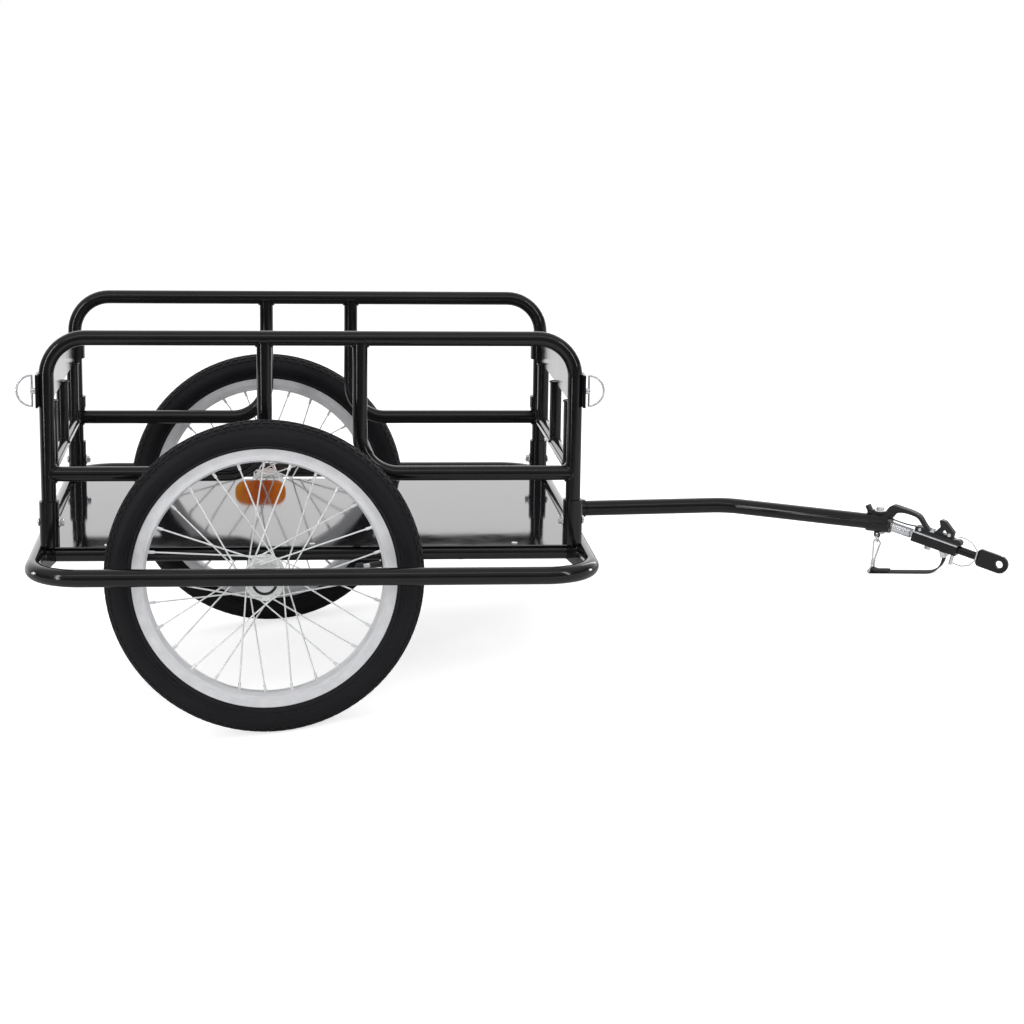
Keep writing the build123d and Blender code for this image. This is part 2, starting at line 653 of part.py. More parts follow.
# ---------------------------------------------------------------- safety strap
def snap_hook():
    """Spring hook hanging from its top bend: loop, swivel barrel and a D-shaped strap bar."""
    r = HOOK_WIRE_R
    bend = ThreePointArc((-HOOK_BEND_R, 0, 0), (0, 0, HOOK_BEND_R), (HOOK_BEND_R, 0, 0))
    hook = sweep(Plane(origin=bend @ 0, z_dir=bend % 0) * Circle(r), path=bend)
    bar_y = STRAP_W / 2 + 2
    shoulder_z = 4 - BAR_DROP
    for side in SIDES.values():
        hook += rod((side * HOOK_BEND_R, 0, 0), (side * r, 0, -HOOK_L), r)
        hook += rod((0, 0, -HOOK_L - 5), (0, side * bar_y, shoulder_z), r)
        hook += rod((0, side * bar_y, shoulder_z), (0, side * bar_y, -BAR_DROP), r)
        hook += Pos(side * HOOK_BEND_R, 0, 0) * Sphere(r)
        hook += Pos(0, side * bar_y, shoulder_z) * Sphere(r)
        hook += Pos(0, side * bar_y, -BAR_DROP) * Sphere(r)
    hook += rod((0, -bar_y, -BAR_DROP), (0, bar_y, -BAR_DROP), r)
    hook += rod((0, 0, 2 - HOOK_L), (0, 0, -HOOK_L - 6), 2.4 * r)
    return hook


def strap_pieces():
    """Hook, strap and anchor as they lie with the hitch eye on the ground."""
    hole = parked_point(BAR_FRONT, LUG_HOLE)
    foot = parked_point(HITCH, (STRAP_REACH, 0, HOUSING_LOW))
    run = Vector(foot.X - hole.X, foot.Y - hole.Y, 0)
    beside = Plane(origin=(hole.X, hole.Y, 0), x_dir=run, z_dir=(0, 0, 1))
    r = HOOK_WIRE_R
    ring_z = hole.Z - RING_R
    hang_z = ring_z - RING_R + 2 * r + FIT
    loop_r = r + 2 * FIT + STRAP_T / 2
    bar_z = loop_r + STRAP_T / 2 + FIT
    fall = (hang_z - bar_z) / (BAR_DROP + HOOK_BEND_R)
    lean = degrees(acos(fall))
    bar_x = -(BAR_DROP + HOOK_BEND_R) * sin(radians(lean))
    ring = Pos(0, 0, ring_z) * Rot(0, 90, 0) * Torus(RING_R, r)
    hook = Pos(0, 0, hang_z) * Rot(0, lean, 0) * Pos(0, 0, -HOOK_BEND_R) * snap_hook()
    floor_z = bar_z - loop_r
    tail_z = floor_z + STRAP_T + FIT
    top = (bar_x, bar_z + loop_r)
    bottom = (bar_x, floor_z)
    rise_x = run.length - STRAP_RISE
    climb = TangentArc((rise_x, floor_z), (run.length, foot.Z + 0.5), tangent=(1, 0))
    route = Polyline((bar_x + STRAP_TAIL, tail_z), (bar_x + 9, tail_z), top)
    route += ThreePointArc(top, (bar_x - loop_r, bar_z), bottom)
    route += Line(bottom, (rise_x, floor_z)) + climb
    strap = extrude(Plane.XZ * trace(route, STRAP_T), STRAP_W / 2, both=True)
    end = climb @ 1
    tangent = climb % 1
    seat = Plane(origin=(end.X, 0, end.Y), x_dir=(0, 1, 0), z_dir=(tangent.X, 0, tangent.Y))
    sleeve = RectangleRounded(STRAP_W + 5, STRAP_T + 6, 2)
    sleeve -= RectangleRounded(STRAP_W + 1, STRAP_T + 3, 1)
    anchor = seat * Pos(0, 0, -ANCHOR_L) * extrude(sleeve, ANCHOR_L + 3)
    high = PARKED * on(HITCH, block((0, -SIDE_Y, HOUSING_LOW), (SIDE_Y, SIDE_Y, SIDE_Y)))
    print("strap length", round(route.length, 1))
    return {
        "strap_hook": on(beside, Compound([ring, hook])),
        "safety_strap": on(beside, strap) - high,
        "strap_anchor": on(beside, anchor) - high,
    }


def parked_pieces():
    """Every piece as it stands, turned about the wheels' centre line."""
    add_wheels()
    add_bumper()
    add_base()
    add_gussets()
    add_sides()
    for end, (post_x, toward) in ENDS.items():
        add_gate(end, post_x, toward)
    add_towbar()
    add_hitch()
    parked = {name: PARKED * shape for name, shape in pieces.items()}
    parked.update(strap_pieces())
    return parked


def main():
    parked = parked_pieces()
    boxes = [shape.bounding_box() for shape in parked.values()]
    low_x = min(box.min.X for box in boxes)
    high_x = max(box.max.X for box in boxes)
    shift = -(low_x + high_x) / 2
    os.makedirs("parts", exist_ok=True)
    for name, shape in parked.items():
        export_step(Pos(shift, 0, 0) * shape, f"parts/{name}.step")
    print("park angle", round(park_angle(), 3), "shift", round(shift, 3))
    print("length", round(high_x - low_x, 1), "lowest", round(min(box.min.Z for box in boxes), 3))


if __name__ == "__main__":
    main()
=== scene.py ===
"""Looks for the two-wheel bicycle cargo trailer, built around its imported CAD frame.

The trailer parks nose-down.  Most detail is laid out on the level trailer, X forward from the
wheels' centre line, Y left and Z up from the ground, in metres, and LEVEL carries it to the frame.
"""
import json
from math import asin, atan2, cos, pi, radians, sin, sqrt

import bmesh
import bpy
from mathutils import Matrix, Vector


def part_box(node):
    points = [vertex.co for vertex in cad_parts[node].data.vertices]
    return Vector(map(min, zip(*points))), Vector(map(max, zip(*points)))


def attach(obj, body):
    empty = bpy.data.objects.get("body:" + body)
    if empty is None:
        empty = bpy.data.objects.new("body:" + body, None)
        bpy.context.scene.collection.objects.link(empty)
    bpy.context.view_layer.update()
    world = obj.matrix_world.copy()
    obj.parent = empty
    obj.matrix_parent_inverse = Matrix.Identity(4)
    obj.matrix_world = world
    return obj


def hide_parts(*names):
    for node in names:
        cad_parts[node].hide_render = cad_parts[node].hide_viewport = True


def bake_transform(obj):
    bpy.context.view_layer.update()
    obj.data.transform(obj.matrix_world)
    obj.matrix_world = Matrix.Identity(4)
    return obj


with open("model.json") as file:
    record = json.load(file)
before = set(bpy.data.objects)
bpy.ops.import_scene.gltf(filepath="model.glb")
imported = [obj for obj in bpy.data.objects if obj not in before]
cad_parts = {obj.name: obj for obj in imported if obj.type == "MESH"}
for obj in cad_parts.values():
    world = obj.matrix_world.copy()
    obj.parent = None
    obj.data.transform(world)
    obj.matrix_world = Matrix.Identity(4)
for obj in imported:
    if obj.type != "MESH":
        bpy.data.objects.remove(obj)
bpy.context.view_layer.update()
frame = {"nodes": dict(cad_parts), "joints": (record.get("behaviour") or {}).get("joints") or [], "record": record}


# ---------------------------------------------------------------- the level trailer
def named(entries, name):
    """Entry of a list that has a name."""
    return next(entry for entry in entries if entry["name"] == name)


AXIS_X = Vector((1, 0, 0))
AXIS_Y = Vector((0, 1, 0))
AXIS_Z = Vector((0, 0, 1))
WHEEL_LEFT = Vector(named(frame["joints"], "wheel_left_spin")["pos_m"])
AXLE_X = WHEEL_LEFT.x
AXLE_Z = WHEEL_LEFT.z
WHEEL_Y = WHEEL_LEFT.y
POST_UP = Vector(named(frame["joints"], "front_gate_swing")["axis"])
PARK_ANGLE = atan2(POST_UP.x, POST_UP.z)
LEVEL = (
    Matrix.Translation((AXLE_X, 0, AXLE_Z))
    @ Matrix.Rotation(PARK_ANGLE, 4, "Y")
    @ Matrix.Translation((0, 0, -AXLE_Z))
)


def level_at(x, y, z):
    """Point of the level trailer, in the frame."""
    return LEVEL @ Vector((x, y, z))


def level_dir(direction):
    """Direction on the level trailer, in the frame."""
    return LEVEL.to_3x3() @ Vector(direction)


# Bed
TUBE_R = 0.0095
SIDE_Y = 0.218
RAIL_Z = 0.215
BRACE_Z = 0.3185
TOP_Z = 0.4915
POST_REAR_X = -0.2715
POST_FRONT_X = 0.3945
STILE_X = (0.0, 0.1205)
CROSS_TUBE_X = (0.250, -0.150)
SHEET_T = 0.0015
BED_Z = RAIL_Z + TUBE_R + SHEET_T
SOCKET_R = 0.0125
SIDES = {"left": 1, "right": -1}
ENDS = {"front": (POST_FRONT_X, 1), "rear": (POST_REAR_X, -1)}

# Bumper
BUMPER_R = 0.011
BUMPER_Y = 0.354
BUMPER_REAR_X = -0.285
BUMPER_FRONT_X = 0.409

# Gates
GATE_TUBE_R = 0.008
GATE_BAR_Z = 0.4035
GATE_UPRIGHT_Y = (-0.165, 0, 0.165)
GATE_END_Y = 0.200


# ---------------------------------------------------------------- camera and light
CAMERA_AT = Vector((0.0250, -3.2876, 0.9053))
CAMERA_PITCH = radians(11.692)
CAMERA_YAW = radians(-5.418)
CAMERA_ROLL = radians(0.865)
SENSOR = 36.0
FOCAL = 86.03

# World: its strength as light, then what mirrors see in front, above and behind
ROOM_LIGHT = 0.42
ROOM_FRONT = 0.1
ROOM_TOP = 0.5
ROOM_BEHIND = 1.3
ROOM_RISE = (0.05, 0.8)
ROOM_TURN = (0.25, 0.9)

# Floor: its colour, the white added for the camera, then what mirrors see: a glow behind the
# trailer, and the colour near it and far out in front, with the Y where each change runs
FLOOR_SIZE = 40
FLOOR_COLOR = 0.8
FLOOR_WHITE = 0.72
FLOOR_BEHIND = 0.8
FLOOR_NEAR = 0.6
FLOOR_FAR = 0.1
GLOW_Y = (0.4, 1.6)
NEAR_Y = (-2.0, -1.0)


def add_camera():
    """Camera at its place by the level trailer, carried with it to the parked one."""
    forward = Vector((
        -sin(CAMERA_YAW) * cos(CAMERA_PITCH),
        cos(CAMERA_YAW) * cos(CAMERA_PITCH),
        -sin(CAMERA_PITCH),
    ))
    level_right = Vector((cos(CAMERA_YAW), sin(CAMERA_YAW), 0))
    level_up = level_right.cross(forward)
    right = level_right * cos(CAMERA_ROLL) + level_up * sin(CAMERA_ROLL)
    up = level_up * cos(CAMERA_ROLL) - level_right * sin(CAMERA_ROLL)
    turn = Matrix((right, up, -forward)).transposed().to_4x4()
    data = bpy.data.cameras.new("camera")
    data.sensor_width = SENSOR
    data.lens = FOCAL
    camera = bpy.data.objects.new("camera", data)
    camera.matrix_world = LEVEL @ Matrix.Translation(CAMERA_AT) @ turn
    bpy.context.scene.collection.objects.link(camera)
    bpy.context.scene.camera = camera


def add_lamp(name, at, target, watts, size, mirrored=True):
    """Rectangular lamp aimed at a point, and seen in mirrors or not."""
    data = bpy.data.lights.new(name, "AREA")
    data.energy = watts
    data.shape = "RECTANGLE"
    data.size, data.size_y = size
    lamp = bpy.data.objects.new(name, data)
    aim = (Vector(target) - Vector(at)).to_track_quat("-Z", "Y")
    lamp.matrix_world = Matrix.Translation(at) @ aim.to_matrix().to_4x4()
    lamp.visible_glossy = mirrored
    bpy.context.scene.collection.objects.link(lamp)


def coordinate_axes(tree, kind):
    """X, Y and Z sockets of a texture coordinate."""
    place = tree.nodes.new("ShaderNodeTexCoord")
    axes = tree.nodes.new("ShaderNodeSeparateXYZ")
    tree.links.new(place.outputs[kind], axes.inputs["Vector"])
    return axes.outputs


def smooth_step(tree, value, low, high):
    """Smooth 0-1 step of a socket between two values."""
    node = tree.nodes.new("ShaderNodeMapRange")
    node.interpolation_type = "SMOOTHSTEP"
    node.inputs["From Min"].default_value = low
    node.inputs["From Max"].default_value = high
    tree.links.new(value, node.inputs["Value"])
    return node.outputs["Result"]


def spread(tree, value, low, high):
    """Map a 0-1 socket to a range."""
    node = tree.nodes.new("ShaderNodeMapRange")
    node.inputs["To Min"].default_value = low
    node.inputs["To Max"].default_value = high
    tree.links.new(value, node.inputs["Value"])
    return node.outputs["Result"]


def mixed(tree, factor, a, b):
    """Value between two numbers or sockets."""
    node = tree.nodes.new("ShaderNodeMix")
    node.data_type = "FLOAT"
    tree.links.new(factor, node.inputs["Factor"])
    for socket, value in ((node.inputs["A"], a), (node.inputs["B"], b)):
        if isinstance(value, (int, float)):
            socket.default_value = value
        else:
            tree.links.new(value, socket)
    return node.outputs["Result"]


def add_world():
    """White to the camera and dim as light; mirrors see a dark front and a bright wall behind."""
    world = bpy.data.worlds.new("studio")
    world.use_nodes = True
    tree = world.node_tree
    tree.nodes.clear()
    output = tree.nodes.new("ShaderNodeOutputWorld")
    axes = coordinate_axes(tree, "Generated")
    up = smooth_step(tree, axes["Z"], *ROOM_RISE)
    behind = smooth_step(tree, axes["Y"], *ROOM_TURN)
    room = mixed(tree, up, ROOM_FRONT, ROOM_TOP)
    room = mixed(tree, behind, room, ROOM_BEHIND)
    path = tree.nodes.new("ShaderNodeLightPath")
    strength = mixed(tree, path.outputs["Is Glossy Ray"], ROOM_LIGHT, room)
    strength = mixed(tree, path.outputs["Is Camera Ray"], strength, 1.0)
    light = tree.nodes.new("ShaderNodeBackground")
    light.inputs["Color"].default_value = (1, 1, 1, 1)
    tree.links.new(strength, light.inputs["Strength"])
    tree.links.new(light.outputs[0], output.inputs["Surface"])
    bpy.context.scene.world = world


def add_studio():
    """Two broad lamps for the light, and strips for the streaks along the tubes."""
    add_world()
    add_lamp("overhead", (0.1, -0.3, 2.9), (0, 0, 0.2), watts=34, size=(3.8, 3.0), mirrored=False)
    add_lamp("strip_left", (-2.1, -1.7, 1.1), (-0.2, 0, 0.3), watts=13, size=(0.22, 1.9))
    add_lamp("strip_right", (2.0, -1.9, 1.1), (0, 0, 0.3), watts=11, size=(0.22, 1.9))
    add_lamp("strip_behind", (1.9, 2.2, 1.3), (0, 0, 0.3), watts=8, size=(0.3, 1.8))
    add_lamp("strip_front", (0.1, -2.1, 2.5), (0, 0, 0.3), watts=6, size=(3.8, 0.35))
    add_lamp("front", (0.1, -4.6, 2.4), (0, 0, 0.25), watts=50, size=(2.4, 1.6), mirrored=False)


# ---------------------------------------------------------------- materials
def principled(name, color, roughness, metallic=0.0):
    """New material, with its node tree and its shader."""
    material = bpy.data.materials.new(name)
    material.use_nodes = True
    shader = material.node_tree.nodes["Principled BSDF"]
    shader.inputs["Base Color"].default_value = (*color, 1)
    shader.inputs["Roughness"].default_value = roughness
    shader.inputs["Metallic"].default_value = metallic
    return material, material.node_tree, shader


def linear(r, g, b):
    """Scene-linear colour from 0-255 display values."""
    def channel(v):
        v /= 255
        return v / 12.92 if v <= 0.04045 else ((v + 0.055) / 1.055) ** 2.4
    return tuple(channel(v) for v in (r, g, b))


def object_noise(tree, scale, detail=2.0, roughness=0.5, stretch=None):
    """Noise over object coordinates, stretched along an axis if asked."""
    place = tree.nodes.new("ShaderNodeTexCoord")
    vector = place.outputs["Object"]
    if stretch:
        mapping = tree.nodes.new("ShaderNodeMapping")
        mapping.inputs["Scale"].default_value = stretch
        tree.links.new(vector, mapping.inputs["Vector"])
        vector = mapping.outputs["Vector"]
    texture = tree.nodes.new("ShaderNodeTexNoise")
    texture.inputs["Scale"].default_value = scale
    texture.inputs["Detail"].default_value = detail
    texture.inputs["Roughness"].default_value = roughness
    tree.links.new(vector, texture.inputs["Vector"])
    return texture.outputs["Fac"]


def ramp(tree, value, stops):
    """Colour ramp over a value: stops are (position, colour)."""
    node = tree.nodes.new("ShaderNodeValToRGB")
    while len(node.color_ramp.elements) < len(stops):
        node.color_ramp.elements.new(0.5)
    for element, (position, color) in zip(node.color_ramp.elements, stops):
        element.position = position
        element.color = (*color, 1)
    tree.links.new(value, node.inputs["Fac"])
    return node.outputs["Color"]


def tint(tree, shader, value, stops):
    """Colour the surface by a value: stops are (position, display colour)."""
    color = ramp(tree, value, [(position, linear(*shown)) for position, shown in stops])
    tree.links.new(color, shader.inputs["Base Color"])


def vary_roughness(tree, shader, value, low, high):
    """Let a 0-1 value set the roughness between two limits."""
    tree.links.new(spread(tree, value, low, high), shader.inputs["Roughness"])


def bump(tree, shader, height, strength, distance):
    """Raise the surface in its shading by a 0-1 height."""
    node = tree.nodes.new("ShaderNodeBump")
    node.inputs["Strength"].default_value = strength
    node.inputs["Distance"].default_value = distance
    tree.links.new(height, node.inputs["Height"])
    tree.links.new(node.outputs["Normal"], shader.inputs["Normal"])


def gloss_paint():
    """Black powder coat: glossy, with faint orange peel and small changes of sheen."""
    material, tree, shader = principled("gloss_paint", linear(17, 17, 19), roughness=0.14)
    fine = object_noise(tree, scale=900)
    broad = object_noise(tree, scale=22, detail=3)
    tint(tree, shader, broad, [(0.3, (14, 14, 16)), (0.7, (20, 20, 22))])
    vary_roughness(tree, shader, broad, 0.09, 0.17)
    bump(tree, shader, fine, strength=0.05, distance=0.0004)
    return material


def floor_paint():
    """Polished black sheet that mirrors the frame, rolled slightly uneven."""
    material, tree, shader = principled("floor_paint", linear(24, 24, 26), roughness=0.06)
    wave = object_noise(tree, scale=5.5, stretch=(1.0, 0.35, 1.0))
    vary_roughness(tree, shader, object_noise(tree, scale=30), 0.03, 0.1)
    bump(tree, shader, wave, strength=0.25, distance=0.004)
    shader.inputs["Specular IOR Level"].default_value = 1.0
    shader.inputs["IOR"].default_value = 1.8
    shader.inputs["Specular Tint"].default_value = (0.975, 0.97, 1.0, 1)
    return material


def rim_aluminium():
    """Anodised aluminium with turning lines round the rim."""
    silver = linear(240, 240, 243)
    material, tree, shader = principled("rim_aluminium", silver, roughness=0.36, metallic=0.38)
    lines = object_noise(tree, scale=60, detail=3, stretch=(1.0, 24.0, 1.0))
    tint(tree, shader, lines, [(0.3, (230, 231, 234)), (0.7, (245, 245, 248))])
    vary_roughness(tree, shader, lines, 0.3, 0.44)
    bump(tree, shader, lines, strength=0.1, distance=0.0003)
    return material


def bright_metal(name, color, low, high, metallic):
    """Plated metal with fine mottling in colour and sheen."""
    material, tree, shader = principled(name, linear(*color), roughness=low, metallic=metallic)
    mottle = object_noise(tree, scale=60, detail=3)
    darker = tuple(c - 9 for c in color)
    tint(tree, shader, mottle, [(0.3, darker), (0.65, color)])
    vary_roughness(tree, shader, mottle, low, high)
    bump(tree, shader, object_noise(tree, scale=500), strength=0.03, distance=0.0001)
    return material


def tyre_rubber():
    """Matt black rubber, a little dusty."""
    material, tree, shader = principled("tyre_rubber", linear(18, 17, 21), roughness=0.62)
    dust = object_noise(tree, scale=18, detail=4, roughness=0.6)
    tint(tree, shader, dust, [(0.3, (15, 14, 18)), (0.72, (23, 22, 26))])
    vary_roughness(tree, shader, dust, 0.5, 0.75)
    bump(tree, shader, object_noise(tree, scale=700, detail=3), strength=0.18, distance=0.0004)
    shader.inputs["Specular IOR Level"].default_value = 0.3
    return material


def amber_plastic():
    """Moulded amber lens, deeper in the middle, with a faint painted glow in place of the light its prisms send
    back.
    """
    amber = linear(226, 128, 30)
    material, tree, shader = principled("amber_plastic", amber, roughness=0.14)
    axes = coordinate_axes(tree, "Generated")
    depth = object_noise(tree, scale=130)
    value = tree.nodes.new("ShaderNodeMath")
    value.operation = "MULTIPLY_ADD"
    tree.links.new(depth, value.inputs[0])
    value.inputs[1].default_value = 0.3
    tree.links.new(axes["X"], value.inputs[2])
    tint(tree, shader, value.outputs[0], [
        (0.18, (255, 176, 40)), (0.42, (232, 120, 34)), (0.66, (176, 72, 18)),
        (0.84, (226, 110, 14)), (1.0, (255, 150, 20)),
    ])
    # Painted glow: the lens is no lamp; this emission stands in for light sent back by its prisms.
    shader.inputs["Emission Color"].default_value = (*linear(255, 120, 10), 1)
    shader.inputs["Emission Strength"].default_value = 0.22
    shader.inputs["Coat Weight"].default_value = 0.5
    return material


def black_plastic(name, low, high):
    """Moulded black plastic or rubber."""
    material, tree, shader = principled(name, linear(26, 26, 28), roughness=low)
    grain = object_noise(tree, scale=1200)
    vary_roughness(tree, shader, grain, low, high)
    bump(tree, shader, grain, strength=0.12, distance=0.0003)
    return material


def webbing():
    """Woven polyester: fine cross ribs, laid out by the strap's own length and width, with painted light on their
    crests and painted shade in the grooves.
    """
    material, tree, shader = principled("webbing", linear(30, 30, 32), roughness=0.75)
    place = tree.nodes.new("ShaderNodeUVMap")
    place.uv_map = "weave"
    ribs = tree.nodes.new("ShaderNodeTexWave")
    ribs.wave_type = "BANDS"
    ribs.bands_direction = "X"
    ribs.inputs["Scale"].default_value = 210
    ribs.inputs["Distortion"].default_value = 0.4
    tree.links.new(place.outputs["UV"], ribs.inputs["Vector"])
    # Painted light and shade: the colour follows the rib height, lighter on the crests and darker in the grooves.
    tint(tree, shader, ribs.outputs["Fac"], [(0.2, (20, 20, 22)), (0.8, (46, 46, 48))])
    bump(tree, shader, ribs.outputs["Fac"], strength=0.5, distance=0.0006)
    return material


MATERIALS = {
    "gloss_paint": gloss_paint(),
    "floor_paint": floor_paint(),
    "rim_aluminium": rim_aluminium(),
    "bright_zinc": bright_metal("bright_zinc", (244, 246, 249), 0.18, 0.28, metallic=0.75),
    "hub_chrome": bright_metal("hub_chrome", (250, 251, 251), 0.17, 0.28, metallic=0.5),
    "spoke_steel": bright_metal("spoke_steel", (248, 249, 250), 0.22, 0.3, metallic=0.35),
    "tyre_rubber": tyre_rubber(),
    "amber_plastic": amber_plastic(),
    "black_plastic": black_plastic("black_plastic", 0.35, 0.5),
    "webbing": webbing(),
    "strap_rubber": black_plastic("strap_rubber", 0.45, 0.6),
    "webbing_thread": black_plastic("webbing_thread", 0.5, 0.7),
}


def paint_nodes():
    """Give every CAD node the material of its slot in the record; the spokes' steel is paler."""
    slots = {entry["node"]: entry["material_slot"] for entry in frame["record"]["subparts"]}
    slots.update({f"spokes_{side}": "spoke_steel" for side in SIDES})
    for name, obj in frame["nodes"].items():
        obj.data.materials.clear()
        obj.data.materials.append(MATERIALS[slots[name]])


# ---------------------------------------------------------------- making meshes
SMOOTH_ANGLE = radians(38)
CORNERS = ((-1, -1), (1, -1), (1, 1), (-1, 1))
TIP_R = 0.0002  # closes a turned shape just off its axis


class Piece:
    """Gathers joined geometry for one named object."""

    def __init__(self, name, slot, body, look=None):
        self.name = name
        self.slot = slot
        self.look = look or slot
        self.body = body
        self.points = []
        self.faces = []

    def add(self, points, faces):
        """Take in points, and faces that count from the first of them."""
        first = len(self.points)
        self.points += [Vector(p) for p in points]
        self.faces += [tuple(first + i for i in face) for face in faces]

    def finish(self, ride=True):
        """Make the object, and let it ride on its body unless told not to."""
        mesh = bpy.data.meshes.new(self.name)
        mesh.from_pydata([tuple(p) for p in self.points], [], self.faces)
        mesh.validate()
        bm = bmesh.new()
        bm.from_mesh(mesh)
        bmesh.ops.recalc_face_normals(bm, faces=bm.faces)
        smooth_by_angle(bm)
        bm.to_mesh(mesh)
        bm.free()
        mesh.materials.append(MATERIALS[self.look])
        obj = bpy.data.objects.new(self.name, mesh)
        bpy.context.scene.collection.objects.link(obj)
        if ride:
            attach(obj, self.body)
        return obj


def smooth_by_angle(bm):
    """Smooth shading with creases kept at sharp edges."""
    for face in bm.faces:
        face.smooth = True
    for edge in bm.edges:
        edge.smooth = len(edge.link_faces) == 2 and edge.calc_face_angle() < SMOOTH_ANGLE


def axes_at(origin, x, y, z):
    """Matrix with the given axes at a point."""
    return Matrix.Translation(origin) @ Matrix((x, y, z)).transposed().to_4x4()


def frame_at(origin, along, beside=None):
    """Matrix with Z along a direction and X as near as can be to another."""
    z = Vector(along).normalized()
    if beside is None:
        beside = AXIS_Z if abs(z.z) < 0.9 else AXIS_X
    y = z.cross(Vector(beside)).normalized()
    return axes_at(origin, y.cross(z), y, z)


def circle(matrix, radius, sides, height=0.0):
    """Points round local Z."""
    points = []
    for k in range(sides):
        x = radius * cos(2 * pi * k / sides)
        y = radius * sin(2 * pi * k / sides)
        points.append(matrix @ Vector((x, y, height)))
    return points


def ring_strip(rings, loop=False):
    """Faces over closed rings of equal length, one after another, capped unless they loop."""
    n = len(rings[0])
    points = [p for ring in rings for p in ring]
    faces = []
    for i in range(len(rings) if loop else len(rings) - 1):
        a = i * n
        b = ((i + 1) % len(rings)) * n
        for k in range(n):
            m = (k + 1) % n
            faces.append((a + k, a + m, b + m, b + k))
    if not loop:
        faces.append(tuple(range(n))[::-1])
        faces.append(tuple(range(len(points) - n, len(points))))
    return points, faces


def smooth_route(points, steps):
    """Catmull-Rom points through a route."""
    points = [Vector(p) for p in points]
    ends = [2 * points[0] - points[1], *points, 2 * points[-1] - points[-2]]
    result = []
    for p0, p1, p2, p3 in zip(ends, ends[1:], ends[2:], ends[3:]):
        for k in range(steps):
            t = k / steps
            a = 2 * p1
            b = (p2 - p0) * t
            c = (2 * p0 - 5 * p1 + 4 * p2 - p3) * t * t
            d = (3 * p1 - p0 - 3 * p2 + p3) * t ** 3
            result.append((a + b + c + d) / 2)
    result.append(points[-1])
    return result


def tube(points, radius, sides=10, loop=False, wobble=0.0):
    """Round tube along points, its frame carried along without twist."""
    points = [Vector(p) for p in points]
    count = len(points)
    rings = []
    across = None
    for i, point in enumerate(points):
        before = points[i - 1] if (loop or i > 0) else point
        after = points[(i + 1) % count] if (loop or i < count - 1) else point
        along = (after - before).normalized()
        if across is None:
            across = along.orthogonal().normalized()
        across = (across - along * across.dot(along)).normalized()
        third = along.cross(across)
        r = radius * (1 + wobble * sin(2.1 * i))
        ring = []
        for k in range(sides):
            angle = 2 * pi * k / sides
            ring.append(point + across * r * cos(angle) + third * r * sin(angle))
        rings.append(ring)
    return ring_strip(rings, loop=loop)


def lathe(matrix, profile, sides, ring=False):
    """Turned solid about local Z from (radius, height) points, or a ring whose ends meet."""
    rings = [circle(matrix, radius, sides, height) for radius, height in profile]
    return ring_strip(rings, loop=ring)


def prism(matrix, outline, low, high, bevel):
    """Extruded outline in local XY, with its lower and upper edges drawn in by a bevel."""
    count = len(outline)
    middle = Vector((sum(p[0] for p in outline) / count, sum(p[1] for p in outline) / count))
    rings = []
    for height, inset in ((low, bevel), (low + bevel, 0), (high - bevel, 0), (high, bevel)):
        ring = []
        for p in outline:
            offset = Vector(p) - middle
            flat = middle + offset * ((offset.length - inset) / offset.length)
            ring.append(matrix @ Vector((flat.x, flat.y, height)))
        rings.append(ring)
    return ring_strip(rings)


def threads(crest, root, start, pitch, count):
    """Crests and roots of a screw thread as a profile for lathe."""
    profile = []
    for k in range(count):
        low = start + k * pitch
        profile += [(crest, low), (root, low + pitch / 2)]
    return profile


# ---------------------------------------------------------------- fasteners and welds
WASHER_T = 0.0012
WELD_SIDES = 7
WELD_WOBBLE = 0.16
WELD_REACH = 0.35  # of the bead's radius, outside the smaller tube
WELD_LIFT = 0.2  # of the bead's radius, off the larger tube
SADDLE_LEAST = 0.24  # least depth, of the larger tube's radius
SADDLE_STEPS = 44
COLLAR_STEPS = 40


def bolt(piece, at, along, flats, height, washer):
    """Hex head on a washer of a given radius, seated at a point and facing along a direction."""
    place = frame_at(at, along)
    inner = washer * 0.5
    piece.add(*lathe(place, [
        (inner, 0), (washer, 0), (washer, 0.0009), (washer * 0.93, WASHER_T), (inner, WASHER_T),
    ], 28))
    r = flats / sqrt(3)
    hexagon = [(r * cos(pi / 3 * k), r * sin(pi / 3 * k)) for k in range(6)]
    top = WASHER_T + height
    piece.add(*prism(place, hexagon, WASHER_T, top, bevel=flats * 0.06))
    r = flats * 0.40
    crown = [(r, top - 0.0004), (r, top), (r * 0.8, top + 0.0003), (TIP_R, top + 0.0004)]
    piece.add(*lathe(place, crown, 24))


def button_head(piece, at, along, radius, height):
    """Low domed head with a round socket."""
    brim = 0.25
    profile = [(radius, 0), (radius, height * brim)]
    for k in range(1, 5):
        angle = pi / 2 * k / 6
        profile.append((radius * cos(angle), height * (brim + (1 - brim) * sin(angle))))
    socket = radius * 0.42
    floor = height * 0.35
    profile += [(socket, height * 0.97), (socket * 0.95, floor), (TIP_R, floor)]
    piece.add(*lathe(frame_at(at, along), profile, 24))


def saddle_weld(piece, crossing, along, main_axis, small_r, main_r, bead=0.0016):
    """Weld bead round a tube that meets the side of another."""
    along = Vector(along).normalized()
    main_axis = Vector(main_axis).normalized()
    across = along.cross(main_axis)
    reach = small_r + bead * WELD_REACH
    route = []
    for k in range(SADDLE_STEPS):
        angle = 2 * pi * k / SADDLE_STEPS
        side = reach * sin(angle)
        seat = sqrt(max(main_r ** 2 - side ** 2, (main_r * SADDLE_LEAST) ** 2))
        offset = main_axis * reach * cos(angle) + across * side + along * (seat + bead * WELD_LIFT)
        route.append(LEVEL @ (Vector(crossing) + offset))
    piece.add(*tube(route, bead, WELD_SIDES, loop=True, wobble=WELD_WOBBLE))


def collar_weld(piece, matrix, radius, bead):
    """Weld bead round a tube where it meets a flat face, in a frame whose Z is the tube's axis."""
    route = circle(matrix, radius, COLLAR_STEPS)
    piece.add(*tube(route, bead, WELD_SIDES, loop=True, wobble=WELD_WOBBLE))


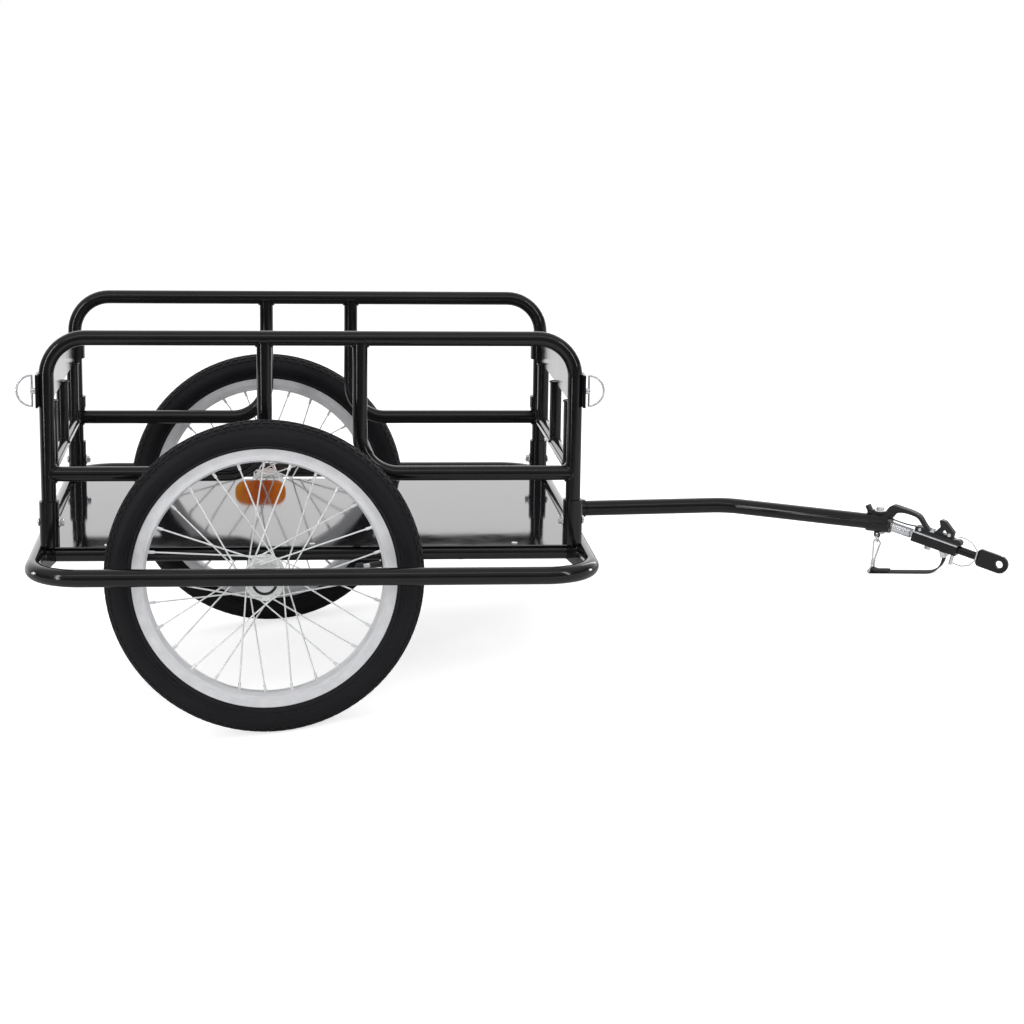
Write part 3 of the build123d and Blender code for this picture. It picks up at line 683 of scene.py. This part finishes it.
# ---------------------------------------------------------------- wheels
SPOKES = 28
TYRE_R = 0.200
TYRE_HALF_W = 0.0235
TYRE_STEPS = 144
CROWN_H = 0.019
CROWN_R = TYRE_R - CROWN_H
CROWN_STEPS = 14
RIM_R = 0.1655
RIM_INNER_R = 0.148
BEAD_HALF_W = 0.0108
RIBS = ((RIM_R + 0.0050, 0.01925), (RIM_R + 0.0088, 0.0221))
RIB_R = 0.00045
WHEEL_BODIES = {"left": ("wheel_left", WHEEL_Y), "right": ("wheel_right", -WHEEL_Y)}

# Tread blocks, and the ground between them
KNOB_H = 0.0012
KNOB_COUNT = 100  # in a row
KNOB_TAPER = (0.82, 0.8)  # of length and width, at the top
KNOB_SINK = 0.0004
KNOB_SPREAD = 0.8  # of its height, sideways
GROUND_EDGE = 0.30  # angle up from the sidewall where the ground starts to drop
GROUND_FALL = 0.16  # angle over which it drops
GROUND_SIDE = 0.4  # of the drop, sideways
# Rows of each half: angle off the crown, the half that is shifted, slant, half length and width
KNOB_ROWS = (
    (0.10, 1, 0.25, 0.0053, 0.0020),
    (0.37, -1, -0.3, 0.0053, 0.0032),
    (0.71, 1, 0.0, 0.0051, 0.0036),
)

# Turned rings of the hub, as (radius, distance from the wheel's middle)
DUST_CAP = [(0.0162, 0.0291), (0.0160, 0.0304), (0.0135, 0.0306), (0.0128, 0.0300),
            (0.0102, 0.0300), (0.0102, 0.0290)]
FLANGE_RING = [(0.0246, 0.0222), (0.0253, 0.0218), (0.0253, 0.0203), (0.0246, 0.0198)]
SEAL_RING = [(0.0160, 0.0302), (0.0157, 0.0311), (0.0127, 0.0311), (0.0124, 0.0302)]

# Axle end beyond the wheel's middle: hub, washer and nut
NUT_FACE = 0.0308 + 0.0016 + 0.008

# Valve, as (radius, height) from the rim inward
VALVE_ANGLE = PARK_ANGLE - pi / SPOKES
VALVE_STEM = [(0.0058, 0), (0.0058, 0.0030), (0.0042, 0.0042), (0.0036, 0.018), (TIP_R, 0.018)]
VALVE_CAP = [(0.0040, 0.0262), (0.0044, 0.0268), (0.0044, 0.0350), (0.0036, 0.0362),
             (TIP_R, 0.0364)]


def wheel_frame(y):
    """Z along the axle, outward to the left, X forward."""
    turn = Matrix((AXIS_X, AXIS_Z, -AXIS_Y)).to_4x4()
    return Matrix.Translation((AXLE_X, y, AXLE_Z)) @ turn


def carcass_outline():
    """Outside of the tyre from bead to bead as (radius, width) points."""
    outline = [
        (RIM_R - 0.004, BEAD_HALF_W),
        (RIM_R + 0.0012, BEAD_HALF_W + 0.0028),
        (RIM_R + 0.0022, BEAD_HALF_W + 0.0034),
        (RIM_R + 0.003, BEAD_HALF_W + 0.0052),
        (RIM_R + 0.0075, 0.0212),
        (RIM_R + 0.0115, 0.0229),
    ]
    for k in range(CROWN_STEPS + 1):
        angle = pi / 2 * k / CROWN_STEPS
        drop = KNOB_H * min(1.0, max(0.0, (angle - GROUND_EDGE) / GROUND_FALL))
        radius = CROWN_R + (CROWN_H - drop) * sin(angle)
        outline.append((radius, (TYRE_HALF_W - drop * GROUND_SIDE) * cos(angle)))
    return outline + [(r, -w) for r, w in reversed(outline[:-1])]


def tread_knob(piece, place, angle, sweep, tilt, half_length, half_width):
    """One raised block: four walls leaning in to a flat top that lies on the crown."""
    def point(along, across, proud):
        a = angle + (along + across * tilt) / TYRE_R
        s = sweep + across / TYRE_HALF_W
        r = CROWN_R + (CROWN_H - KNOB_H + proud) * cos(s)
        w = (TYRE_HALF_W - KNOB_H * GROUND_SIDE + proud * KNOB_SPREAD) * sin(s)
        return place @ Vector((r * cos(a), r * sin(a), w))

    foot = [point(x * half_length, y * half_width, -KNOB_SINK) for x, y in CORNERS]
    top_length, top_width = half_length * KNOB_TAPER[0], half_width * KNOB_TAPER[1]
    top = [point(x * top_length, y * top_width, KNOB_H) for x, y in CORNERS]
    piece.add(*ring_strip([foot, top]))


def add_tyre(side):
    """Carcass with its tread blocks, and fine ribs round both sidewalls."""
    body, y = WHEEL_BODIES[side]
    place = wheel_frame(y)
    piece = Piece(f"tyre_tread_{side}", "tyre_rubber", body)
    outline = carcass_outline()
    rings = []
    for k in range(TYRE_STEPS):
        a = 2 * pi * k / TYRE_STEPS
        rings.append([place @ Vector((r * cos(a), r * sin(a), w)) for r, w in outline])
    piece.add(*ring_strip(rings, loop=True))
    for k in range(KNOB_COUNT):
        a = 2 * pi * k / KNOB_COUNT
        for sign in (-1, 1):
            for sweep, shifted, tilt, half_length, half_width in KNOB_ROWS:
                angle = a + pi / KNOB_COUNT * (sign == shifted)
                tread_knob(piece, place, angle, sign * sweep, sign * tilt, half_length, half_width)
    tyre = piece.finish()
    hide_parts(f"tyre_{side}")
    ribs = Piece(f"tyre_ribs_{side}", "tyre_rubber", body)
    for radius, width in RIBS:
        for sign in (-1, 1):
            route = circle(place, radius, TYRE_STEPS, sign * width)
            ribs.add(*tube(route, RIB_R, 6, loop=True))
    ribs.finish()


def add_hub_rings(name, slot, side, profiles):
    """Turned rings on both ends of a hub: profiles are (profile, sides)."""
    body, y = WHEEL_BODIES[side]
    piece = Piece(f"{name}_{side}", slot, body)
    for sign in (-1, 1):
        flip = wheel_frame(y) @ Matrix.Scale(sign, 4, AXIS_Z)
        for profile, sides in profiles:
            piece.add(*lathe(flip, profile, sides, ring=True))
    piece.finish()


def add_hub_detail(side):
    """Dust caps, flange rings and dark seals on the hub, and a thread end on the axle."""
    add_hub_rings("hub_detail", "hub_chrome", side, [(DUST_CAP, 40), (FLANGE_RING, 56)])
    add_hub_rings("hub_seal", "black_plastic", side, [(SEAL_RING, 40)])
    outward = SIDES[side] * AXIS_Y
    end = Vector((AXLE_X, SIDES[side] * (WHEEL_Y + NUT_FACE), AXLE_Z))
    thread = Piece(f"axle_thread_{side}", "bright_zinc", "chassis")
    profile = [(0.0052, -0.0005)]
    profile += threads(crest=0.0061, root=0.0057, start=0.0003, pitch=0.0008, count=5)
    profile += [(0.0050, 0.0046), (TIP_R, 0.0047)]
    thread.add(*lathe(frame_at(end, outward), profile, 28))
    thread.finish()


def add_valve(side):
    """Tube valve with a black stem, bright threads and a cap, between two spokes."""
    body, y = WHEEL_BODIES[side]
    place = wheel_frame(y)
    outward = Vector((cos(VALVE_ANGLE), sin(VALVE_ANGLE), 0))
    foot = place @ (outward * (RIM_INNER_R + 0.002))
    turn = frame_at(foot, place.to_3x3() @ -outward)
    stem = Piece(f"valve_stem_{side}", "black_plastic", body)
    stem.add(*lathe(turn, VALVE_STEM, 24))
    stem.add(*lathe(turn, VALVE_CAP, 12))
    stem.finish()
    thread = Piece(f"valve_thread_{side}", "bright_zinc", body)
    profile = [(0.0024, 0.0178)]
    profile += threads(crest=0.0030, root=0.0026, start=0.0180, pitch=0.0009, count=9)
    profile += [(0.0024, 0.0264), (TIP_R, 0.0264)]
    thread.add(*lathe(turn, profile, 24))
    thread.finish()


# ---------------------------------------------------------------- reflector
LENS_HALF_W = 0.037
LENS_HALF_H = 0.0175
LENS_HALF_T = 0.0029
LENS_CORNER_R = 0.015
LENS_BEVEL = 0.0008
LENS_RIM_R = 0.0008
LENS_RIM_INSET = 0.985
PRISM_PITCH = 0.0030
PRISM_COLUMNS = 21
PRISM_ROWS = 10
PRISM_SINK = 0.0002
PRISM_H = 0.0006


def add_prisms(piece, place, sign):
    """Field of small square pyramids on one face of the lens, clear of its round corners."""
    foot = sign * (LENS_HALF_T - PRISM_SINK)
    peak = sign * (LENS_HALF_T + PRISM_H)
    half = PRISM_PITCH * 0.48
    flat_w = LENS_HALF_W - LENS_CORNER_R
    flat_h = LENS_HALF_H - LENS_CORNER_R
    for i in range(PRISM_COLUMNS):
        for j in range(PRISM_ROWS):
            x = (i - (PRISM_COLUMNS - 1) / 2) * PRISM_PITCH
            y = (j - (PRISM_ROWS - 1) / 2) * PRISM_PITCH
            if abs(x) > flat_w and abs(y) > flat_h:
                continue
            base = [place @ Vector((x + a * half, y + b * half, foot)) for a, b in CORNERS]
            tip = place @ Vector((x, y, peak))
            piece.add(base + [tip], [(0, 1, 4), (1, 2, 4), (2, 3, 4), (3, 0, 4), (3, 2, 1, 0)])


def add_reflector():
    """Amber lens with a plain rim round a field of small prisms on each face."""
    low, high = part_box("spoke_reflector")
    leans = Matrix.Rotation(PARK_ANGLE, 4, "Y")
    upright = Matrix((AXIS_X, -AXIS_Z, AXIS_Y)).to_4x4()
    place = Matrix.Translation((low + high) / 2) @ leans @ upright
    outline = []
    for cx, cy, start in ((1, 1, 0), (-1, 1, 90), (-1, -1, 180), (1, -1, 270)):
        for k in range(7):
            a = radians(start + 15 * k)
            x = (LENS_HALF_W - LENS_CORNER_R) * cx + LENS_CORNER_R * cos(a)
            y = (LENS_HALF_H - LENS_CORNER_R) * cy + LENS_CORNER_R * sin(a)
            outline.append((x, y))
    piece = Piece("reflector_lens", "amber_plastic", "wheel_left")
    piece.add(*prism(place, outline, -LENS_HALF_T, LENS_HALF_T, LENS_BEVEL))
    for sign in (-1, 1):
        add_prisms(piece, place, sign)
    for sign in (-1, 1):
        face = sign * (LENS_HALF_T + 0.0001)
        inset = LENS_RIM_INSET
        rim = [place @ Vector((x * inset, y * inset, face)) for x, y in outline]
        piece.add(*tube(rim, LENS_RIM_R, 6, loop=True))
    lens = piece.finish()
    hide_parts("spoke_reflector")


# ---------------------------------------------------------------- bed detail
SOCKET_BOLT_Z = 0.257
GUSSET_BOLT_Y = (SIDE_Y + 0.028, SIDE_Y + 0.062)
GUSSET_FACE = 0.0035
GUSSET_LEAN = 0.14
GUSSET_MIDDLE_Y = SIDE_Y + 0.052
BEND_SCREW = (0.008, BUMPER_Y - 0.0185, RAIL_Z + BUMPER_R * 0.2)
SHEET_SCREW_X = (-0.20, -0.07, 0.06, 0.19, 0.32)
SHEET_SCREW_Y = SIDE_Y - 0.001
GATE_CAP = [(0.0078, -0.0006), (0.0083, 0), (0.0083, 0.0012), (0.0072, 0.0024),
            (0.004, 0.0029), (TIP_R, 0.003)]


def add_frame_welds():
    """Beads at the braces, the stiles of the hoops, the cross tubes and the bumper."""
    piece = Piece("frame_welds", "gloss_paint", "chassis")
    for s in SIDES.values():
        y = s * SIDE_Y
        for post_x, toward in ENDS.values():
            saddle_weld(piece, (post_x, y, BRACE_Z), -toward * AXIS_X, AXIS_Z, TUBE_R, TUBE_R)
        for x in STILE_X:
            saddle_weld(piece, (x, y, TOP_Z), -AXIS_Z, AXIS_X, TUBE_R, TUBE_R)
        for x in CROSS_TUBE_X:
            saddle_weld(piece, (x, y, RAIL_Z), -s * AXIS_Y, AXIS_X, TUBE_R, TUBE_R, bead=0.0008)
        for x, toward in ((BUMPER_FRONT_X, 1), (BUMPER_REAR_X, -1)):
            saddle_weld(piece, (x, y, RAIL_Z), -toward * AXIS_X, AXIS_Y, TUBE_R, BUMPER_R)
    piece.finish()


def add_gate_welds():
    """Beads at both ends of the gates' uprights, and plastic caps on their lower tubes."""
    r = GATE_TUBE_R
    for end, (post_x, _) in ENDS.items():
        piece = Piece(f"gate_{end}_welds", "gloss_paint", f"{end}_gate")
        for y in GATE_UPRIGHT_Y:
            saddle_weld(piece, (post_x, y, BRACE_Z), AXIS_Z, AXIS_Y, r, r, bead=0.0013)
            under_bar = frame_at(level_at(post_x, y, GATE_BAR_Z), POST_UP)
            collar_weld(piece, under_bar, r + 0.0002, bead=0.0012)
        piece.finish()
        caps = Piece(f"gate_{end}_caps", "black_plastic", f"{end}_gate")
        for s in SIDES.values():
            place = frame_at(level_at(post_x, s * GATE_END_Y, BRACE_Z), s * AXIS_Y)
            caps.add(*lathe(place, GATE_CAP, 28))
        caps.finish()


def add_frame_bolts():
    """Socket bolts, gusset bolts and floor screws."""
    piece = Piece("frame_bolts", "bright_zinc", "chassis")
    upward = level_dir(AXIS_Z)
    for s in SIDES.values():
        for post_x, toward in ENDS.values():
            outward = level_dir(toward * AXIS_X)
            inner = level_at(post_x - toward * SOCKET_R, s * SIDE_Y, SOCKET_BOLT_Z)
            outer = level_at(post_x + toward * SOCKET_R, s * SIDE_Y, SOCKET_BOLT_Z)
            bolt(piece, inner, -outward, flats=0.009, height=0.0045, washer=0.0072)
            button_head(piece, outer, outward, radius=0.0052, height=0.003)
            for y in GUSSET_BOLT_Y:
                proud = GUSSET_FACE + (y - GUSSET_MIDDLE_Y) * GUSSET_LEAN
                at = level_at(post_x + toward * proud, s * y, RAIL_Z)
                bolt(piece, at, outward, flats=0.008, height=0.004, washer=0.0068)
            beyond, aside, high = BEND_SCREW
            at = level_at(post_x + toward * beyond, s * aside, high)
            button_head(piece, at, upward, radius=0.0040, height=0.0022)
        for x in SHEET_SCREW_X:
            at = level_at(x, s * SHEET_SCREW_Y, BED_Z)
            button_head(piece, at, upward, radius=0.0036, height=0.0018)
    piece.finish()


# ---------------------------------------------------------------- hitch
EYE = named(frame["record"]["mounts"], "hitch_eye")
SPRING_MIDDLE = Vector(named(frame["joints"], "hitch_swing")["pos_m"])
SPRING_L = 0.036
SPRING_R = 0.0075
SPRING_WIRE_R = 0.0016
SPRING_TURNS = 10.4
TURN_STEPS = 26
SPRING_INSET = 0.0018
CORE_R = 0.0042
CORE_INSET = 0.001
HITCH_AHEAD = (Vector(EYE["pos_m"]) - SPRING_MIDDLE).normalized()
HITCH_BESIDE = -Vector(EYE["axis"])
HITCH_UP = HITCH_AHEAD.cross(HITCH_BESIDE)
HOUSING_LOW = -0.0085
LATCH_TOP = 0.0125
HITCH_BOLT_X = 0.0600
LEVER_RIVET = (0.086, 0.0045, 0.0165)
LATCH_RIVET = (0.044, 0.007, 0.0108)
TOE_IN = radians(32.7)
BAR_RISE = 0.003
CLAMP_R = 0.0135
CLAMP_BOLT = (-0.016, 0, CLAMP_R + 0.003)
CLAMP_SCREW = (-0.012, 0, -CLAMP_R)
KNOB_FOOT = (-0.029, 0, CLAMP_R - 0.0006)
KNOB_BASE = [(0.0058, 0), (0.0058, 0.0036), (0.0052, 0.0046), (TIP_R, 0.0050)]
KNOB_WING = [(-0.0022, -0.0062), (0.0022, -0.0062), (0.0030, 0.0), (0.0022, 0.0062),
             (-0.0022, 0.0062), (-0.0030, 0.0)]
KNOB_LEAN = radians(-28)

# Frames: the hitch at the rear end of its spring, and the towbar at its tip
HITCH_ORIGIN = SPRING_MIDDLE - HITCH_AHEAD * SPRING_L / 2
HITCH = axes_at(HITCH_ORIGIN, HITCH_AHEAD, HITCH_BESIDE, HITCH_UP)
BAR_AHEAD = level_dir((cos(TOE_IN), -sin(TOE_IN), 0))
BAR_BESIDE = level_dir((sin(TOE_IN), cos(TOE_IN), 0))
BAR = axes_at(HITCH_ORIGIN + POST_UP * BAR_RISE, BAR_AHEAD, BAR_BESIDE, POST_UP)

# Side outlines of the rubber band, outside and inside, and the strand under it
BAND_HALF_W = 0.007
STRAND_R = 0.0010
BAND_OUTSIDE = [(-0.013, 0.012), (-0.005, 0.0295), (0.012, 0.0315), (0.030, 0.031),
                (0.040, 0.028), (0.050, 0.019), (0.059, 0.0132)]
BAND_INSIDE = [(0.0, 0.012), (0.005, 0.021), (0.015, 0.0252), (0.028, 0.026),
               (0.037, 0.0245), (0.045, 0.018), (0.0515, 0.0132)]
BAND_STRAND = [(-0.003, 0.0102), (0.010, 0.0098), (0.024, 0.0102), (0.0375, 0.0122)]
# Section of the band with its corners taken off, as (half widths, share of the thickness)
BAND_SECTION = [(-1, 0.2), (-1, 0.8), (-0.84, 1), (0.84, 1), (1, 0.8), (1, 0.2), (0.84, 0),
                (-0.84, 0)]


def hitch_at(x, y, z):
    """Point ahead, beside and above the rear end of the spring, in the frame."""
    return HITCH @ Vector((x, y, z))


def add_spring():
    """Close-wound coil over a core."""
    piece = Piece("hitch_coil", "bright_zinc", "chassis")
    count = int(SPRING_TURNS * TURN_STEPS)
    mean_r = SPRING_R - SPRING_WIRE_R
    run = SPRING_L - 2 * SPRING_INSET - 2 * SPRING_WIRE_R
    route = []
    for k in range(count + 1):
        a = 2 * pi * k / TURN_STEPS
        x = SPRING_INSET + SPRING_WIRE_R + run * k / count
        route.append(hitch_at(x, mean_r * cos(a), mean_r * sin(a)))
    piece.add(*tube(route, SPRING_WIRE_R, 10))
    core = frame_at(hitch_at(CORE_INSET, 0, 0), HITCH_AHEAD)
    piece.add(*lathe(core, [(CORE_R, 0), (CORE_R, SPRING_L - 2 * CORE_INSET)], 20))
    coil = piece.finish(ride=False)
    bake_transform(coil)
    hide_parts("hitch_spring")


def add_band():
    """Moulded rubber band arched over the coil, with a thin lower strand."""
    piece = Piece("hitch_rubber_band", "strap_rubber", "chassis")
    outer = smooth_route([(x, 0, z) for x, z in BAND_OUTSIDE], 7)
    inner = smooth_route([(x, 0, z) for x, z in BAND_INSIDE], 7)
    rings = []
    for high, low in zip(outer, inner):
        rings.append([
            HITCH @ (low + (high - low) * share + AXIS_Y * (side * BAND_HALF_W))
            for side, share in BAND_SECTION
        ])
    piece.add(*ring_strip(rings))
    strand = smooth_route([(x, 0, z) for x, z in BAND_STRAND], 5)
    piece.add(*tube([HITCH @ p for p in strand], STRAND_R, 8))
    band = piece.finish(ride=False)
    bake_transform(band)
    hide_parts("hitch_band")


def add_hitch_bolts():
    """Through bolt and rivets of the hitch, and the screws of the towbar's clamp."""
    piece = Piece("hitch_bolts", "bright_zinc", "hitch")
    for z, facing in ((LATCH_TOP, 1), (HOUSING_LOW, -1)):
        at = hitch_at(HITCH_BOLT_X, 0, z)
        bolt(piece, at, facing * HITCH_UP, flats=0.0085, height=0.0045, washer=0.0062)
    for s in (-1, 1):
        for (x, y, z), radius in ((LEVER_RIVET, 0.0028), (LATCH_RIVET, 0.0024)):
            button_head(piece, hitch_at(x, s * y, z), s * HITCH_BESIDE, radius, radius / 2)
    piece.finish()
    clamp = Piece("clamp_bolts", "bright_zinc", "chassis")
    at = BAR @ Vector(CLAMP_BOLT)
    bolt(clamp, at, POST_UP, flats=0.010, height=0.005, washer=0.0075)
    button_head(clamp, BAR @ Vector(CLAMP_SCREW), -POST_UP, radius=0.0045, height=0.003)
    clamp.finish()


def add_clamp_knob():
    """Black wing knob on the back of the clamp."""
    piece = Piece("clamp_knob", "black_plastic", "chassis")
    place = frame_at(BAR @ Vector(KNOB_FOOT), POST_UP, BAR_AHEAD)
    piece.add(*lathe(place, KNOB_BASE, 28))
    tilted = place @ Matrix.Rotation(KNOB_LEAN, 4, "Y")
    piece.add(*prism(tilted, KNOB_WING, low=0.0025, high=0.0122, bevel=0.0009))
    piece.finish()


# ---------------------------------------------------------------- safety strap
# The strap hangs from a snap hook, whose ring goes through the clamp's lug, lies on the ground
# and rises to its anchor under the housing, all in one upright plane.
STRAP_HALF_W = 0.008
STRAP_HALF_T = 0.00095
STRAP_EDGE = 0.45  # of its thickness, at its outermost threads
STRAP_RISE = 0.028  # length on the ground over which it rises
STRAP_REACH = 0.084  # of its anchor, along the hitch
STRAP_BEND_R = 0.0024  # round the hook's bar
STRAP_BAR_Z = 0.0035
STRAP_LOW = STRAP_BAR_Z - STRAP_BEND_R
TAIL_Z = STRAP_LOW + 0.0021
TAIL = ((0.026, 0), (0.017, 0), (0.010, 0), (0.005, 0.0013))  # ahead of the bar, over TAIL_Z
STITCH_HALF_W = 0.0058
STITCH_PITCH = 0.0024
STITCH_R = 0.00028
LUG_BACK = 0.019
LUG_DROP = CLAMP_R + 0.0045
RING_R = 0.005
HOOK_WIRE_R = 0.0012
HOOK_BEND_R = 0.005
HOOK_REACH = 0.047  # from the top of its bend to its bar
COLLAR_R = 0.0031
COLLAR_WIRE_R = 0.0004
COLLAR_PITCH = 0.0016
COLLAR_DROP = 0.0262
GATE_WIRE_R = 0.0005
LUG_HOLE = BAR @ Vector((-LUG_BACK, 0, -LUG_DROP))
STRAP_FOOT = hitch_at(STRAP_REACH, 0, HOUSING_LOW)
STRAP_RUN = Vector((STRAP_FOOT.x - LUG_HOLE.x, STRAP_FOOT.y - LUG_HOLE.y, 0))
STRAP_AHEAD = STRAP_RUN.normalized()
STRAP_PLANE = axes_at((LUG_HOLE.x, LUG_HOLE.y, 0), STRAP_AHEAD, AXIS_Z.cross(STRAP_AHEAD), AXIS_Z)
HOOK_TOP = LUG_HOLE.z - 2 * RING_R + 2 * HOOK_WIRE_R + 0.0001
HOOK_BAR_X = -HOOK_REACH * sqrt(1 - ((HOOK_TOP - STRAP_BAR_Z) / HOOK_REACH) ** 2)


def strap_route():
    """Middle line of the webbing: sewn tail, round the hook's bar, along the ground and up."""
    route = [(HOOK_BAR_X + ahead, TAIL_Z + over) for ahead, over in TAIL]
    for k in range(7):
        a = pi / 2 + pi * k / 6
        route.append((HOOK_BAR_X + STRAP_BEND_R * cos(a), STRAP_BAR_Z + STRAP_BEND_R * sin(a)))
    start = HOOK_BAR_X + 0.008
    end = STRAP_RUN.length - STRAP_RISE
    for k in range(9):
        route.append((start + (end - start) * k / 8, STRAP_LOW))
    high = STRAP_FOOT.z + 0.0005 - STRAP_LOW
    arc_r = (STRAP_RISE ** 2 + high ** 2) / (2 * high)
    sweep = atan2(STRAP_RISE, arc_r - high)
    for k in range(1, 9):
        a = sweep * k / 8
        route.append((end + arc_r * sin(a), STRAP_LOW + arc_r * (1 - cos(a))))
    return [Vector((x, 0, z)) for x, z in route]


def add_strap():
    """Woven webbing with thin edges, and a weave map of its length and width."""
    line = smooth_route(strap_route(), 7)
    half = (-1.0, -0.9, -0.45, 0.0, 0.45, 0.9, 1.0)
    columns = half + half[::-1]
    rings = []
    length = 0.0
    lengths = []
    for i, p in enumerate(line):
        before = line[max(i - 1, 0)]
        after = line[min(i + 1, len(line) - 1)]
        if i:
            length += (p - before).length
        lengths.append(length)
        along = (after - before).normalized()
        out = Vector((-along.z, 0, along.x))
        ring = []
        for column, v in enumerate(columns):
            sign = 1 if column < len(half) else -1
            edge = STRAP_EDGE if abs(v) == 1 else 1.0
            offset = out * sign * STRAP_HALF_T * edge + Vector((0, v * STRAP_HALF_W, 0))
            ring.append(STRAP_PLANE @ (p + offset))
        rings.append(ring)
    piece = Piece("strap_webbing", "webbing", "chassis")
    piece.add(*ring_strip(rings))
    strap = piece.finish(ride=False)
    layer = strap.data.uv_layers.new(name="weave")
    for corner in strap.data.loops:
        row, column = divmod(corner.vertex_index, len(columns))
        layer.data[corner.index].uv = (lengths[row], columns[column] * STRAP_HALF_W)
    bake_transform(strap)
    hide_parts("safety_strap")


def add_stitching():
    """Box stitch that closes the loop round the hook's bar."""
    piece = Piece("strap_stitches", "webbing", "chassis", look="webbing_thread")
    top = TAIL_Z + STRAP_HALF_T + 0.0001
    x0, x1, y = HOOK_BAR_X + 0.010, HOOK_BAR_X + 0.023, STITCH_HALF_W
    runs = [((x0, -y), (x1, -y)), ((x1, -y), (x1, y)), ((x1, y), (x0, y)), ((x0, y), (x0, -y)),
            ((x0, -y), (x1, y)), ((x0, y), (x1, -y))]
    for (ax, ay), (bx, by) in runs:
        reach = sqrt((bx - ax) ** 2 + (by - ay) ** 2)
        count = int(reach / STITCH_PITCH)
        for k in range(count):
            shares = ((k + 0.16) / count, (k + 0.84) / count)
            first, last = [
                STRAP_PLANE @ Vector((ax + (bx - ax) * t, ay + (by - ay) * t, top)) for t in shares
            ]
            middle = (first + last) / 2 + AXIS_Z * 0.0002
            piece.add(*tube([first, middle, last], STITCH_R, 5))
    piece.finish()


def add_hook_gate():
    """Thin spring gate across the mouth of the snap hook, and the wound collar of its swivel."""
    piece = Piece("hook_gate", "bright_zinc", "chassis")
    hook = (
        STRAP_PLANE
        @ Matrix.Translation((0, 0, HOOK_TOP))
        @ Matrix.Rotation(asin(-HOOK_BAR_X / HOOK_REACH), 4, "Y")
        @ Matrix.Translation((0, 0, -HOOK_BEND_R))
    )
    for k in range(5):
        wound = circle(hook, COLLAR_R, 20, -COLLAR_DROP - COLLAR_PITCH * k)
        piece.add(*tube(wound, COLLAR_WIRE_R, 6, loop=True))
    mouth = HOOK_BEND_R - HOOK_WIRE_R
    gate = [(mouth * 0.86, -0.0025), (mouth * 0.55, -0.012), (0.0006, -0.0255)]
    gate = [hook @ Vector((x, 0, z)) for x, z in gate]
    piece.add(*tube(smooth_route(gate, 4), GATE_WIRE_R, 6))
    piece.finish()


# ---------------------------------------------------------------- stage
def add_floor():
    """Pale floor that keeps the shadow.

    The camera sees it whitened, and mirrors see it glow behind the trailer and dim in front.
    """
    bm = bmesh.new()
    bmesh.ops.create_grid(bm, x_segments=1, y_segments=1, size=FLOOR_SIZE)
    mesh = bpy.data.meshes.new("studio_floor")
    bm.to_mesh(mesh)
    bm.free()
    floor = bpy.data.objects.new("studio_floor", mesh)
    bpy.context.scene.collection.objects.link(floor)
    material, tree, shader = principled("studio_floor", (FLOOR_COLOR,) * 3, roughness=0.9)
    shader.inputs["Specular IOR Level"].default_value = 0.0
    shader.inputs["Emission Color"].default_value = (1, 1, 1, 1)
    path = tree.nodes.new("ShaderNodeLightPath")
    axes = coordinate_axes(tree, "Object")
    glow = spread(tree, smooth_step(tree, axes["Y"], *GLOW_Y), 0.0, FLOOR_BEHIND)
    white = mixed(tree, path.outputs["Is Glossy Ray"], 0.0, glow)
    white = mixed(tree, path.outputs["Is Camera Ray"], white, FLOOR_WHITE)
    tree.links.new(white, shader.inputs["Emission Strength"])
    mirrored = mixed(tree, smooth_step(tree, axes["Y"], *NEAR_Y), FLOOR_FAR, FLOOR_NEAR)
    color = mixed(tree, path.outputs["Is Glossy Ray"], FLOOR_COLOR, mirrored)
    tree.links.new(color, shader.inputs["Base Color"])
    mesh.materials.append(material)


add_camera()
add_studio()
add_floor()
paint_nodes()
for wheel_side in SIDES:
    add_tyre(wheel_side)
    add_hub_detail(wheel_side)
    add_valve(wheel_side)
add_reflector()
add_frame_welds()
add_gate_welds()
add_frame_bolts()
add_spring()
add_band()
add_hitch_bolts()
add_clamp_knob()
add_strap()
add_stitching()
add_hook_gate()
bpy.context.scene.view_settings.view_transform = "Standard"
